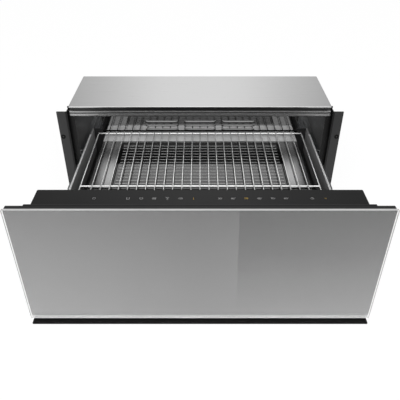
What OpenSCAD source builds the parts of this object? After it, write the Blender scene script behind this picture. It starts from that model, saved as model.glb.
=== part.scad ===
// Built-in warming drawer, 76 cm class, shown with its drawer pulled out.
// Frame: +Z up, X across, Y = 0 on the front face of the screw flanges, +Y to the rear,
// z = 0 on the underside of the housing. All sizes in millimetres.

/* [Door] */
// Width of the door glass
door_w = 750; // [640:1:800]
// Height of the door glass
door_h = 298; // [270:1:320]
// Height of the lower edge of the glass above the base
door_lift = 9; // [8:0.5:20]
// Thickness of the door glass
glass_t = 6; // [4:0.5:8]
// Clear margin of the glass outside the steel sheet behind it
glass_margin = 2.5; // [1:0.5:6]
// Thickness of the brushed steel sheet behind the glass
backing_t = 1; // [0.6:0.1:2]
// Depth of the black door tray
tray_d = 11; // [8:0.5:16]
// Wall thickness of the door tray
tray_wall = 1.6; // [1:0.1:3]
// Inset of the door tray from the glass edge
tray_inset = 2; // [1:0.5:6]
// Width of the inner door panel
inner_w = 678; // [600:1:690]
// Thickness of the inner door panel
inner_t = 4; // [2:0.5:6]
// Height of the lower edge of the inner panel above the glass edge
inner_lift = 11; // [6:1:30]
// Thickness of the bottom trim strip
trim_t = 4; // [2:0.5:5]
// How far the trim strip reaches in front of the glass
trim_reach = 9.8; // [0:0.2:15]
// Inset of each end of the trim strip from the glass edge
trim_inset = 4.7; // [0:0.1:12]

/* [Control strip] */
// Width of the control housing
ctl_w = 650; // [560:1:656]
// Depth of the control housing behind the inner panel
ctl_d = 50.5; // [40:0.5:52]
// Height of the control housing without its glass
ctl_h = 39; // [30:1:60]
// Thickness of the control glass
ctl_glass_t = 4; // [2:0.5:6]
// Corner radius of the control glass
ctl_r = 3; // [1:0.5:8]
// Wall thickness of the control housing
ctl_wall = 2; // [1.5:0.1:3]

/* [Housing] */
// Clear width between the inner side walls
open_w = 662; // [660:1:700]
// Depth of the housing from the flange face to the back panel
house_d = 545; // [543:1:600]
// Height of the side panels at the front
house_h = 300; // [285:1:320]
// Height of the back panel
rear_h = 165; // [150:1:180]
// Thickness of the double side wall
wall_w = 14; // [10:0.5:20]
// Sheet thickness of the housing
sheet = 1.2; // [0.8:0.1:2]
// Setback of the front frame behind the flange face
recess = 16; // [15:0.5:25]
// Height of the lower front panel
kick_h = 92; // [70:1:94]

/* [Top cover] */
// Width of the cover
cover_w = 679; // [670:1:684]
// Depth of the cover
cover_d = 208; // [150:1:300]
// Height of its folded edge
cover_fold = 4.5; // [3:0.5:10]
// Height of the black spacer frame under the cover
spacer_h = 14.5; // [8:0.5:25]
// Width of the spacer frame's bars
spacer_w = 10; // [6:0.5:13]
// Height of the front cross rail
rail_h = 16; // [12:0.5:22]
// Thickness of the rail in front of the side panels
rail_t = 2.8; // [2:0.1:3]
// Width of the rail
rail_w = 684; // [672:1:688]
// Height of the cavity ceiling under the side panels' top
ceiling_drop = 12; // [8:0.5:15]

/* [Screw flanges] */
// Width of the flange outside the side panel
flange_w = 27.5; // [20:0.5:40]
// Thickness of the flange sheet
flange_t = 2; // [1.5:0.1:3]
// Height of the flange
flange_h = 296.5; // [250:0.5:300]
// Height of its lower edge
flange_z = 8; // [2:0.5:20]
// Height of the lower screw hole
hole_low = 45; // [30:1:80]
// Height of the upper screw hole
hole_high = 232; // [180:1:260]
// Distance of the holes from the flange's outer edge
hole_edge = 7.9; // [7:0.1:12]
// Diameter of the screw holes
hole_d = 5.5; // [4:0.5:7]
// Outer diameter of the plastic bushings
bush_d = 11.6; // [9:0.2:13]

/* [Drawer] */
// Travel between closed and the open position shown
travel = 370; // [250:1:375]
// Distance from the glass face to the flange face when closed
closed_gap = 61.6; // [61:0.1:80]
// Depth of the drawer behind the inner door panel
box_d = 549.4; // [500:0.1:549.4]
// Height of the underside of the drawer
box_z = 97; // [96:0.5:110]
// Height of the drawer's side walls
side_h = 90; // [70:1:95]
// Sheet thickness of the drawer
box_sheet = 1.2; // [0.8:0.1:2]
// Room for a slide between drawer side and housing wall
slide_room = 16; // [15:0.5:20]
// Height of the bright rim on the side walls
rim_h = 2.8; // [2:0.1:4]
// Width of the rim
rim_w = 4.2; // [3.5:0.1:5]
// Length of the rim
rim_len = 509; // [400:1:540]

/* [Drawer floor] */
// Height of the floor above the drawer's underside
floor_up = 71.9; // [50:0.1:80]
// Width of the raised floor
floor_w = 559.2; // [500:0.1:590]
// Width of the black glass plate
plate_w = 449; // [380:1:480]
// Depth of the glass plate
plate_d = 430; // [300:1:440]
// Distance from the plate's back edge to the rear wall
plate_back = 57.2; // [30:0.1:80]
// Thickness of the glass plate
plate_t = 4; // [3:0.5:5]
// Corner radius of the plate
plate_r = 14; // [6:1:30]
// Depth of the plate's top below the floor
plate_sink = 2.4; // [1:0.1:4]
// Gap round the plate
plate_gap = 0.5; // [0.3:0.1:1]
// Pitch of the cross ribs on the plate
rib_pitch = 15; // [10:0.5:25]
// Width of a rib
rib_w = 2.4; // [1.5:0.1:4]
// Height of a rib
rib_h = 1; // [0.5:0.1:1.5]
// Inset of the ribs from the plate's sides
rib_inset = 8.5; // [5:0.5:20]
// Inset of the first rib from the plate's back edge
rib_back = 17; // [10:0.5:30]

/* [Rear wall] */
// Width of the louvred rear wall
wall_plate_w = 574; // [480:1:600]
// Height of the rear wall above the floor
wall_up = 57; // [45:1:65]
// Width of the middle louvre group
louvre_mid = 92; // [60:1:110]
// Width of the outer louvre groups
louvre_out = 96; // [60:1:110]
// Gap between the louvre groups
louvre_gap = 18; // [10:1:40]
// Rows of louvres
louvre_rows = 3; // [1:1:4]
// Pitch of the rows
louvre_pitch = 12.5; // [10:0.5:14]
// Height of the lowest row above the floor
louvre_up = 11; // [6:0.5:14]
// Height of a louvre opening
louvre_h = 4; // [2:0.5:6]
// How far a louvre stands out
louvre_out_d = 3.4; // [2:0.1:5]

/* [Wire rack] */
// Width of the rack over its side wires' centres
rack_w = 596; // [560:1:610]
// Number of long wires on each side of the middle one
rack_half_n = 12; // [6:1:12]
// Pitch of the long wires
wire_pitch = 22.4; // [16:0.1:24]
// Diameter of the long wires
wire_d = 3; // [2:0.1:4]
// Diameter of the cross bars
bar_d = 4; // [3:0.1:5]
// Height of the bars' centres above the floor
bar_up = 3.6; // [2.6:0.1:6]
// Distance from the rear wall to the rear bar
bar_back = 8.5; // [6:0.1:20]
// Distance between rear bar and middle bar
bar_mid = 280.8; // [200:0.1:320]
// Distance between rear bar and front bar
bar_front = 516; // [380:1:530]
// How far the long wires run past the end bars
wire_over = 5; // [2:0.5:5.5]
// How deep crossing wires are pressed into each other
weld = 0.4; // [0.2:0.1:0.8]

/* [Telescopic slides] */
// Height of a slide
slide_h = 45; // [38:1:46]
// Height of the slide's centre above the drawer's underside
slide_up = 61; // [45:1:64]
// Length of the fixed rail
slide_len = 505; // [400:1:520]
// Length of the drawer rail
slide_in_len = 505; // [400:1:520]
// Length of the middle rail
slide_mid_len = 480; // [400:1:490]
// Steel thickness of the rails
slide_t = 1.4; // [1:0.1:2]
// Diameter of the balls
ball_d = 3.2; // [2.6:0.1:3.4]
// Balls in a row
ball_n = 8; // [4:1:12]

/* [Fan] */
// Diameter of the fan wheel
fan_d = 66; // [50:1:70]
// Thickness of the fan wheel
fan_t = 13; // [8:0.5:14]
// Number of blades
fan_n = 24; // [12:1:32]
// Height of the fan's centre above the floor
fan_up = 18; // [10:1:20]
// Width of the fan casing
casing_w = 332; // [250:1:360]
// Height of the fan casing
casing_h = 86; // [80:1:90]
// Depth of the fan casing
casing_d = 30; // [28:0.5:31]
// Diameter of the fan motor
motor_d = 46; // [30:1:56]
// Diameter of the motor shaft
shaft_d = 4; // [3:0.5:6]

/* [Heater] */
// Diameter of the heating rod
rod_d = 6.5; // [5:0.5:8]
// Runs of the heating rod
rod_runs = 6; // [2:2:8]
// Pitch of the runs
rod_pitch = 56; // [36:1:60]
// Depth of the reflector tray under the floor
reflector_drop = 20; // [18:0.5:30]

/* [Push opener] */
// Stroke of the plunger
push_stroke = 6; // [4:0.5:8]
// Diameter of the plunger
push_d = 8; // [6:0.5:10]
// Radial clearance of the plunger in its housing
push_clear = 0.1; // [0.05:0.01:0.2]
// Side of the plunger's housing
push_body = 20; // [16:1:26]
// Distance of the plunger from the middle
push_x = 230; // [190:1:260]
// Height of the plunger
push_z = 128; // [115:1:140]
// Clearance between the plunger's tip and the closed drawer
push_gap = 0.6; // [0.4:0.1:2]

/* [Hidden] */
$fn = 48;
eps = 0.01;

// housing
wall_in = open_w / 2;
wall_out = wall_in + wall_w;
cover_z = house_h + spacer_h;
top_z = cover_z + cover_fold;
slope = (house_h - rear_h) / (house_d - cover_d);
kick_top = sheet + kick_h;
// door, front to back
y_glass = -closed_gap - travel;
y_backing = y_glass + glass_t;
y_tray = y_backing + backing_t;
y_inner = y_tray + tray_d;
y_box = y_inner + inner_t;
y_ctl = y_box + ctl_d;
door_top = door_lift + door_h;
ctl_top = door_top - glass_margin + 0.5;
// drawer
side_out = wall_in - slide_room;
side_in = side_out - box_sheet;
side_top = box_z + side_h;
y_wall = y_box + box_d;
floor_z = box_z + floor_up;
base_in = box_z + box_sheet;
plate_top = floor_z - plate_sink;
y_plate = y_wall - plate_back;
plate_cy = y_plate - plate_d / 2;
reflector_z = floor_z - reflector_drop;
// slides
slide_z = box_z + slide_up;
slide_y0 = recess + sheet + 1;
slide_in_y0 = y_box + 4;
slide_mid_y0 = slide_y0 + 2 - travel / 2;
half_o = slide_h / 2;
half_m = half_o - slide_t - ball_d - 0.3;
half_i = half_m - slide_t - ball_d - 0.3;
x_web_m = wall_in - 5.4;
// rack
bar_z = floor_z + bar_up;
wire_z = bar_z + bar_d / 2 + wire_d / 2 - weld;
y_bar1 = y_wall - bar_back;
y_bar2 = y_bar1 - bar_mid;
y_bar3 = y_bar1 - bar_front;
// fan
fan_z = floor_z + fan_up;
y_rear = y_wall + box_sheet;
casing_z = fan_z - casing_h / 2 - 1;
fan_y = y_rear + 2;
motor_y = fan_y + fan_t + 1.2;
motor_t = casing_d - box_sheet - (motor_y - y_rear);
baffle_z = max(casing_z + casing_h, floor_z + wall_up) + 3;
// push opener
push_tip = y_rear + box_sheet + travel + push_gap;
push_y0 = push_tip + push_stroke + 1;

module box(x0, x1, y0, y1, z0, z1)
    translate([x0, y0, z0]) cube([x1 - x0, y1 - y0, z1 - z0]);
module sym_box(w, y0, y1, z0, z1) box(-w / 2, w / 2, y0, y1, z0, z1);
// a drawing in (Y, Z) extruded along X, in (X, Z) along Y, in (X, Y) along Z
module along_x(x0, x1) translate([x0, 0, 0]) rotate([90, 0, 90]) linear_extrude(x1 - x0) children();
module along_y(y0, y1) translate([0, y1, 0]) rotate([90, 0, 0]) linear_extrude(y1 - y0) children();
module along_z(z0, z1) translate([0, 0, z0]) linear_extrude(z1 - z0) children();
module rect(x0, x1, y0, y1) translate([x0, y0]) square([x1 - x0, y1 - y0]);
module round_rect(x0, x1, y0, y1, r) {
    wide = x1 - x0 > 2 * r + eps;
    tall = y1 - y0 > 2 * r + eps;
    if (wide) rect(x0 + r, x1 - r, y0, y1);
    if (tall) rect(x0, x1, y0 + r, y1 - r);
    for (x = wide ? [x0 + r, x1 - r] : [x0 + r], y = tall ? [y0 + r, y1 - r] : [y0 + r])
        translate([x, y]) circle(r);
}
module rod_x(x0, x1, y, z, d) translate([x0, y, z]) rotate([0, 90, 0]) cylinder(h = x1 - x0, d = d);
module rod_y(x, y0, y1, z, d) translate([x, y1, z]) rotate([90, 0, 0]) cylinder(h = y1 - y0, d = d);
module rod_z(x, y, z0, z1, d) translate([x, y, z0]) cylinder(h = z1 - z0, d = d);
module on_left() mirror([1, 0, 0]) children();
module both() { children(); mirror([1, 0, 0]) children(); }
// screw head with a cross recess
module pan_head(d, h, slot) {
    difference() {
        union() {
            cylinder(h = h * 0.6, d = d);
            translate([0, 0, h * 0.6]) cylinder(h = h * 0.4, d1 = d, d2 = d * 0.72);
        }
        for (a = [0, 90]) rotate(a) translate([-slot / 2, -d * 0.3, h * 0.5]) cube([slot, d * 0.6, h]);
    }
}

// ---------------------------------------------------------------- housing
module bottom_pan() color("dimgray") {
    h = 18;
    // flat from the flange plane back, turned up at the sides and the rear
    sym_box(open_w, 0, house_d, 0, sheet);
    difference() {
        sym_box(open_w, recess + sheet, house_d, 0, h);
        sym_box(open_w - 2 * sheet, recess, house_d - sheet, sheet, h + 1);
    }
    for (x = [-170, -110, 190, 250])
        along_y(recess + 40, house_d - 40) translate([x, sheet])
            intersection() { circle(5); rect(-6, 6, -0.2, 6); }
}

module panel_shape() polygon([[recess, 0], [house_d, 0], [house_d, rear_h], [cover_d, house_h], [recess, house_h]]);
module side_panel() intersection() {
    difference() {
        union() {
            along_z(0, house_h) {
                rect(wall_in, wall_in + sheet, recess, house_d);
                rect(wall_in, wall_out, recess, recess + sheet);
                rect(wall_out - sheet, wall_out, recess, house_d);
            }
            box(wall_in, wall_out, recess, cover_d, house_h - sheet, house_h);
            box(wall_in, wall_out, recess, house_d, 0, sheet);
            for (z = [70, 210])
                along_x(wall_out - sheet - 1.5, wall_out - sheet + eps) round_rect(70, house_d - 60, z - 6, z + 6, 6);
        }
        for (y = [0.12, 0.5, 0.88]) rod_x(wall_in - 1, wall_in + sheet + 1, slide_y0 + y * slide_len, slide_z, 4.2);
    }
    union() {
        along_x(wall_in - 1, wall_out + 1) panel_shape();
    }
}
module side_panel_right() color([0.13, 0.13, 0.135]) side_panel();
module side_panel_left() color([0.13, 0.13, 0.135]) on_left() side_panel();

gland_x = -250;
gland_z = 60;
module rear_panel() color("dimgray") difference() {
    union() {
        sym_box(2 * wall_out, house_d, house_d + sheet, 0, rear_h);
        both() box(casing_w / 2 + 12, open_w / 2 - 0.5, house_d - 14, house_d, rear_h - sheet, rear_h);
    }
    rod_y(gland_x, house_d - 1, house_d + sheet + 1, gland_z, 20.4);
    for (i = [0:17], z = [30, 50, 70])
        along_y(house_d - 1, house_d + sheet + 1) translate([40 + i * 12, z]) round_rect(-2, 2, -7, 7, 2);
    for (s = [-1, 1]) rod_y(push_x * s - 0, house_d - 1, house_d + sheet + 1, push_z + push_body * 0.85, 3.2);
}

module top_cover() color("silver") {
    // brushed sheet with hemmed front and side edges and a taller fold at the back
    s = 1;
    hem = 16;
    difference() {
        along_z(cover_z, top_z) round_rect(-cover_w / 2, cover_w / 2, 0, cover_d, 2);
        along_z(cover_z + s, top_z - s) rect(-cover_w / 2 + s, cover_w / 2 - s, s, cover_d - s);
        sym_box(cover_w - 2 * hem, hem, cover_d - hem, cover_z - 1, cover_z + s + eps);
    }
}
module cover_spacer() color([0.05, 0.05, 0.05]) difference() {
    sym_box(2 * (wall_in + 3), recess + 1, cover_d - 4, house_h, cover_z);
    sym_box(2 * (wall_in + 3 - spacer_w), recess + 1 + spacer_w, cover_d - 4 - spacer_w, house_h - 1, cover_z + 1);
}
module cover_end_caps() color([0.04, 0.04, 0.04]) both()
    translate([cover_w / 2, 2.6, cover_z + cover_fold * 0.45]) rotate([0, 90, 0]) {
        cylinder(h = 1.6, d = 5.6);
        translate([0, 0, 1.6]) cylinder(h = 1, d1 = 5.6, d2 = 4);
    }
module ceiling_panel() color("silver") {
    // folded tray under the cover, hung between the side panels
    z = house_h - ceiling_drop;
    along_y(recess + sheet + 4, cover_d - 2) {
        rect(-wall_in + 0.1, wall_in - 0.1, z, z + sheet);
        for (s = [-1, 1]) rect(s * (wall_in - 0.7) - 0.6, s * (wall_in - 0.7) + 0.6, z, house_h - sheet);
    }
}
module cavity_baffle() color([0.06, 0.06, 0.06]) along_x(-wall_in + 0.1, wall_in - 0.1) {
    // black sheet hung from the ceiling's rear edge; the drawer's rear wall passes under it
    z = house_h - ceiling_drop;
    rect(cover_d - 2 - sheet, cover_d - 2, baffle_z, z);
    rect(cover_d - 18, cover_d - 2, z - sheet, z);
    rect(cover_d - 2 - sheet, cover_d + 8, baffle_z, baffle_z + sheet);
}
module front_cross_rail() color([0.42, 0.42, 0.43]) {
    // pressed rail with two long ridges; its ends lie over the side panels
    z0 = house_h - rail_h;
    y0 = recess - rail_t;
    w = rail_w / 2;
    along_x(-w, w) polygon([
        [recess, z0], [y0 + 0.6, z0], [y0, z0 + 0.8], [y0, z0 + 4.2], [y0 + 1.8, z0 + 5.6],
        [y0 + 1.8, z0 + 8.6], [y0, z0 + 10], [y0, z0 + 13.4], [y0 + 1.4, house_h], [recess, house_h]]);
    along_x(-wall_in + 0.1, wall_in - 0.1) {
        rect(recess - 0.5, recess + sheet + 4, z0, z0 + sheet);
        rect(recess - 0.5, recess + sheet + 4, house_h - sheet, house_h);
        rect(recess + sheet + 2.8, recess + sheet + 4, z0, z0 + ceiling_drop);
    }
}
module lower_front_panel() color([0.06, 0.06, 0.06]) difference() {
    along_x(-wall_in + 0.1, wall_in - 0.1) {
        rect(recess, recess + sheet, sheet, kick_top);
        rect(recess, recess + 16, kick_top - sheet, kick_top);
    }
    for (i = [-14:14], z = [28, 44]) along_y(recess - 1, recess + sheet + 1)
        translate([i * 20, z]) round_rect(-7, 7, -2, 2, 2);
}

flange_x1 = wall_out + flange_w;
hole_x = flange_x1 - hole_edge;
module flange() difference() {
    union() {
        along_y(0, flange_t) round_rect(wall_out, flange_x1, flange_z, flange_z + flange_h, 1.5);
        box(wall_out, wall_out + flange_t, 0, 62, flange_z, flange_z + flange_h);
    }
    for (z = [hole_low, hole_high]) rod_y(hole_x, -1, flange_t + 1, z, bush_d - 3);
    for (z = [hole_low, 150, hole_high + 30]) rod_x(wall_out - 1, wall_out + flange_t + 1, 40, z, 4);
}
module mounting_flange_right() color([0.23, 0.23, 0.235]) flange();
module mounting_flange_left() color([0.23, 0.23, 0.235]) on_left() flange();
module flange_bushings() color([0.05, 0.05, 0.05]) both() for (z = [hole_low, hole_high])
    difference() {
        union() {
            rod_y(hole_x, 0, flange_t, z, bush_d - 3);
            rod_y(hole_x, -1, 0, z, bush_d);
            rod_y(hole_x, flange_t, flange_t + 0.8, z, bush_d - 1);
        }
        rod_y(hole_x, -2, flange_t + 2, z, hole_d);
    }
module housing_screws() color("gray") {
    both() for (z = [hole_low, 150, hole_high + 30])
        translate([wall_out + flange_t, 40, z]) rotate([0, 90, 0]) pan_head(7.5, 2.4, 1.2);
    both() for (z = [20, 80, 140]) translate([wall_out - 7, house_d + sheet, z]) rotate([-90, 0, 0]) pan_head(7.5, 2.4, 1.2);
    both() for (y = [0.12, 0.5, 0.88]) translate([wall_in + sheet, slide_y0 + y * slide_len, slide_z])
        rotate([0, 90, 0]) cylinder(h = 1.6, d = 7);
}

module cable_gland() color([0.05, 0.05, 0.05]) translate([gland_x, house_d + sheet, gland_z]) rotate([-90, 0, 0]) difference() {
    union() {
        cylinder(h = 6, d = 27, $fn = 6);
        translate([0, 0, 6]) cylinder(h = 12, d = 21);
        translate([0, 0, -sheet]) cylinder(h = sheet, d = 20);
        translate([0, 0, -sheet - 6]) cylinder(h = 6, d = 26, $fn = 6);
        for (a = [0:30:330]) rotate(a) translate([10, -0.8, 7]) cube([1.2, 1.6, 10]);
    }
    translate([0, 0, -20]) cylinder(h = 60, d = 11);
}
module terminal_block() color([0.85, 0.85, 0.8]) translate([gland_x, house_d - 62, sheet]) {
    difference() {
        box(-30, 30, -12, 12, 0, 22);
        for (x = [-20, 0, 20]) {
            rod_z(x, -5, 14, 23, 6);
            rod_y(x, -13, 0, 8, 5);
        }
    }
}
module power_module() color([0.12, 0.12, 0.12]) translate([40, 330, sheet]) {
    difference() {
        along_z(0, 52) round_rect(-95, 95, -70, 70, 4);
        for (i = [-8:8]) box(i * 10 - 2, i * 10 + 2, -60, 60, 49, 53);
    }
    for (x = [-100, 100], y = [-55, 55]) difference() {
        along_z(0, 3) round_rect(x - 10, x + 10, y - 8, y + 8, 3);
        rod_z(x + (x > 0 ? 3 : -3), y, -1, 4, 4.5);
    }
}

// ---------------------------------------------------------------- push opener
module at_push() translate([push_x, 0, push_z]) children();
module push_housing() color([0.16, 0.16, 0.16]) at_push() difference() {
    union() {
        along_y(push_y0, house_d) round_rect(-push_body / 2, push_body / 2, -push_body / 2, push_body / 2, 3);
        along_y(house_d - 3, house_d) round_rect(-push_body / 2, push_body / 2, -push_body * 1.05, push_body * 1.05, 3);
    }
    rod_y(0, push_y0 - 1, push_y0 + 3, 0, push_d + 2 * push_clear);
    rod_y(0, push_y0 + 3 - eps, house_d - 3, 0, push_d + 5);
    for (s = [-1, 1]) rod_y(0, push_y0 - 1, house_d + 1, s * push_body * 0.85, 3.2);
}
module push_plunger() color("whitesmoke") at_push() {
    rod_y(0, push_tip + 1, push_y0 + 3.4, 0, push_d);
    translate([0, push_tip + 1, 0]) rotate([90, 0, 0]) cylinder(h = 1, d1 = push_d, d2 = push_d - 2);
    rod_y(0, push_y0 + 3.2, push_y0 + 5, 0, push_d + 3.6);
}
spring_len = house_d - 3 - (push_y0 + 5);
function coil(t, n) = [cos(360 * n * t), sin(360 * n * t)];
module push_spring() color("silver") at_push() {
    // coil of eight-sided wire, seven turns
    n = 5;
    rings = n * 20;
    r = push_d / 2 - 0.2;
    w = 0.45;
    pts = [for (i = [0:rings], k = [0:5]) let (t = i / rings, c = coil(t, n), a = k * 60,
        rr = r + w * cos(a)) [rr * c[0], push_y0 + 5.5 + t * (spring_len - 1) + w * sin(a), rr * c[1]]];
    side = [for (i = [0:rings - 1], k = [0:5]) let (a = i * 6 + k, b = i * 6 + (k + 1) % 6)
        [a, b, b + 6, a + 6]];
    tri = [for (q = side) each [[q[0], q[1], q[2]], [q[0], q[2], q[3]]]];
    polyhedron(pts, concat(tri, [[5, 4, 3, 2, 1, 0]], [[for (k = [0:5]) rings * 6 + k]]));
}

// ---------------------------------------------------------------- slides, right side
module slide_c(x_web, x_lip, half, lip) {
    rect(x_web, x_web + slide_t, -half, half);
    for (s = [-1, 1]) scale([1, s]) {
        rect(min(x_web, x_lip), max(x_web + slide_t, x_lip), half - slide_t, half);
        rect(x_lip - 0.6, x_lip + 0.6, half - slide_t - lip, half);
    }
}
module slide_outer() difference() {
    along_y(slide_y0, slide_y0 + slide_len) translate([0, slide_z])
        slide_c(wall_in - slide_t, side_out + 4, half_o, 1.8);
    for (y = [0.12, 0.5, 0.88]) rod_x(wall_in - slide_t - 1, wall_in + 1, slide_y0 + y * slide_len, slide_z, 4.2);
    for (y = [0.3, 0.7]) along_x(wall_in - slide_t - 1, wall_in + 1)
        round_rect(slide_y0 + y * slide_len - 12, slide_y0 + y * slide_len + 12, slide_z - 4, slide_z + 4, 4);
}
module slide_middle() difference() {
    along_y(slide_mid_y0, slide_mid_y0 + slide_mid_len) translate([0, slide_z])
        slide_c(x_web_m, side_out + 3.2, half_m, 0);
    for (y = [0.2, 0.5, 0.8]) along_x(x_web_m - 1, x_web_m + slide_t + 1)
        round_rect(slide_mid_y0 + y * slide_mid_len - 20, slide_mid_y0 + y * slide_mid_len + 20, slide_z - 5, slide_z + 5, 5);
}
module slide_inner() difference() {
    along_y(slide_in_y0, slide_in_y0 + slide_in_len) translate([0, slide_z])
        slide_c(side_out, side_out + 7.4, half_i, 0);
    for (y = [0.1, 0.5, 0.9]) rod_x(side_out - 1, side_out + slide_t + 1, slide_in_y0 + y * slide_in_len, slide_z, 4.2);
}
module ball_rows(x, z, y0, y1) {
    // thin cage strip with its balls
    n = ball_n;
    along_y(y0, y1) rect(x - 2.6, x + 2.6, z - 0.4, z + 0.4);
    for (i = [0:n - 1]) translate([x, y0 + (y1 - y0) * (i + 0.5) / n, z]) sphere(d = ball_d);
}
module slide_balls() {
    y0 = slide_y0 + 12;
    y1 = slide_mid_y0 + slide_mid_len - 12;
    y2 = slide_mid_y0 + 12;
    y3 = slide_in_y0 + slide_in_len - 12;
    for (s = [-1, 1]) {
        ball_rows(x_web_m - 1.2, slide_z + s * (half_m + 0.15 + ball_d / 2), y0, y1);
        ball_rows(side_out + 5, slide_z + s * (half_i + 0.15 + ball_d / 2), y2, y3);
    }
}
module slide_outer_right() color("lightgray") slide_outer();
module slide_outer_left() color("lightgray") on_left() slide_outer();
module slide_middle_right() color("lightgray") slide_middle();
module slide_middle_left() color("lightgray") on_left() slide_middle();
module slide_inner_right() color("lightgray") slide_inner();
module slide_inner_left() color("lightgray") on_left() slide_inner();
module slide_balls_right() color("gray") slide_balls();
module slide_balls_left() color("gray") on_left() slide_balls();

// ---------------------------------------------------------------- door
module door_glass() color([0.62, 0.63, 0.64]) along_y(y_glass, y_backing)
    round_rect(-door_w / 2, door_w / 2, door_lift, door_top, 1.5);
module door_backing() color("silver") along_y(y_backing, y_tray)
    round_rect(-door_w / 2 + glass_margin, door_w / 2 - glass_margin, door_lift + glass_margin - 0.5, door_top - glass_margin + 0.5, 1);
tray_x = door_w / 2 - tray_inset;
tray_z0 = door_lift + glass_margin + 0.5;
tray_z1 = door_top - glass_margin + 0.5;
module door_tray() color([0.07, 0.07, 0.075]) {
    // black tray: closed at the back, ribs towards the glass
    along_y(y_inner - tray_wall, y_inner) round_rect(-tray_x, tray_x, tray_z0, tray_z1, 2);
    along_y(y_tray, y_inner) difference() {
        round_rect(-tray_x, tray_x, tray_z0, tray_z1, 2);
        rect(-tray_x + 6, tray_x - 6, tray_z0 + 6, tray_z1 - 6);
    }
    along_y(y_tray, y_inner - eps) {
        for (x = [-240, -120, 0, 120, 240]) rect(x - 2, x + 2, tray_z0 + 5, tray_z1 - 5);
        for (z = [tray_z0 + 90, tray_z0 + 180]) rect(-tray_x + 5, tray_x - 5, z - 2, z + 2);
    }
}
module door_inner_panel() color([0.08, 0.08, 0.085]) along_y(y_inner, y_box)
    round_rect(-inner_w / 2, inner_w / 2, door_lift + inner_lift, ctl_top + 0.6, 2);
module bottom_trim() color([0.08, 0.08, 0.085]) {
    x = door_w / 2 - trim_inset;
    along_z(1, 1 + trim_t) rect(-x, x, y_glass - trim_reach, y_inner);
    // web up to the tray, with stiffening gussets
    sym_box(2 * x - 10, y_inner - 3, y_inner, 1 + trim_t - eps, tray_z0);
    for (i = [-5:5]) box(i * 65 - 2, i * 65 + 2, y_tray + 2, y_inner, 1 + trim_t - eps, tray_z0);
}

// ---------------------------------------------------------------- control strip
ctl_z0 = ctl_top - ctl_glass_t - ctl_h;
module control_housing() color([0.1, 0.1, 0.105]) difference() {
    along_z(ctl_z0, ctl_top - ctl_glass_t) {
        round_rect(-ctl_w / 2, ctl_w / 2, y_box, y_ctl, ctl_r);
        rect(-ctl_w / 2, ctl_w / 2, y_box, y_box + ctl_r);
    }
    sym_box(ctl_w - 2 * ctl_wall, y_box + ctl_wall, y_ctl - ctl_wall, ctl_z0 + ctl_wall, ctl_top);
    for (i = [-20:20]) box(i * 12 - 3, i * 12 + 3, y_box + 12, y_ctl - 12, ctl_z0 - 1, ctl_z0 + ctl_wall + 1);
}
module control_glass() color([0.17, 0.17, 0.175]) along_z(ctl_top - ctl_glass_t, ctl_top) {
    round_rect(-ctl_w / 2, ctl_w / 2, y_box, y_ctl, ctl_r);
    rect(-ctl_w / 2, ctl_w / 2, y_box, y_box + ctl_r);
}
module control_board() color("darkgreen") {
    z = ctl_top - ctl_glass_t - 9;
    y0 = y_box + ctl_wall + 3;
    y1 = y_ctl - ctl_wall - 3;
    sym_box(ctl_w - 2 * ctl_wall - 20, y0, y1, z, z + 1.6);
    for (x = [-290, -150, 0, 150, 290]) rod_z(x, (y0 + y1) / 2, ctl_z0 + ctl_wall, z, 7);
    for (i = [-8:8]) rod_z(i * 26, y0 + 20, z + 1.6, z + 8.9, 9);
}

// ---------------------------------------------------------------- drawer
module door_bracket() difference() {
    union() {
        box(side_out, side_out + 2, y_box, y_box + 60, base_in, base_in + 30);
        box(side_out, side_out + 20, y_box, y_box + 2, base_in, base_in + 30);
        along_z(base_in, base_in + 2) polygon([[side_out, y_box], [side_out + 20, y_box], [side_out, y_box + 40]]);
    }
    rod_x(side_out - 1, side_out + 3, y_box + 45, base_in + 15, 4.5);
}
module door_bracket_right() color("gray") door_bracket();
module door_bracket_left() color("gray") on_left() door_bracket();

module drawer_base() color([0.09, 0.09, 0.09]) {
    difference() {
        union() {
            sym_box(2 * side_in, y_box, y_rear + box_sheet, box_z, base_in);
            sym_box(2 * side_in, y_rear, y_rear + box_sheet, box_z, side_top - rim_h);
            both() box(side_in - box_sheet, side_in, y_box + 2, y_rear, box_z, box_z + 12);
        }
        box(-casing_w / 2 - 8, casing_w / 2 + 8, y_rear - 1, y_rear + box_sheet + 1, casing_z - 1, side_top);
    }
}
module drawer_side() difference() {
    along_y(y_box, y_rear + box_sheet) {
        rect(side_in, side_out, box_z, side_top - rim_h);
        rect(side_in, side_in + rim_w, side_top - rim_h - box_sheet, side_top - rim_h);
    }
    for (y = [0.1, 0.5, 0.9]) rod_x(side_in - 1, side_out + 1, slide_in_y0 + y * slide_in_len, slide_z, 4.2);
}
module drawer_side_right() color([0.2, 0.2, 0.205]) drawer_side();
module drawer_side_left() color([0.2, 0.2, 0.205]) on_left() drawer_side();
module side_rims() color("silver") both() along_y(y_box, y_box + rim_len) translate([side_in, side_top - rim_h]) {
    rect(0, rim_w, 0, rim_h * 0.4);
    rect(0, rim_w * 0.33, 0, rim_h);
    rect(rim_w * 0.67, rim_w, 0, rim_h);
}

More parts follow.
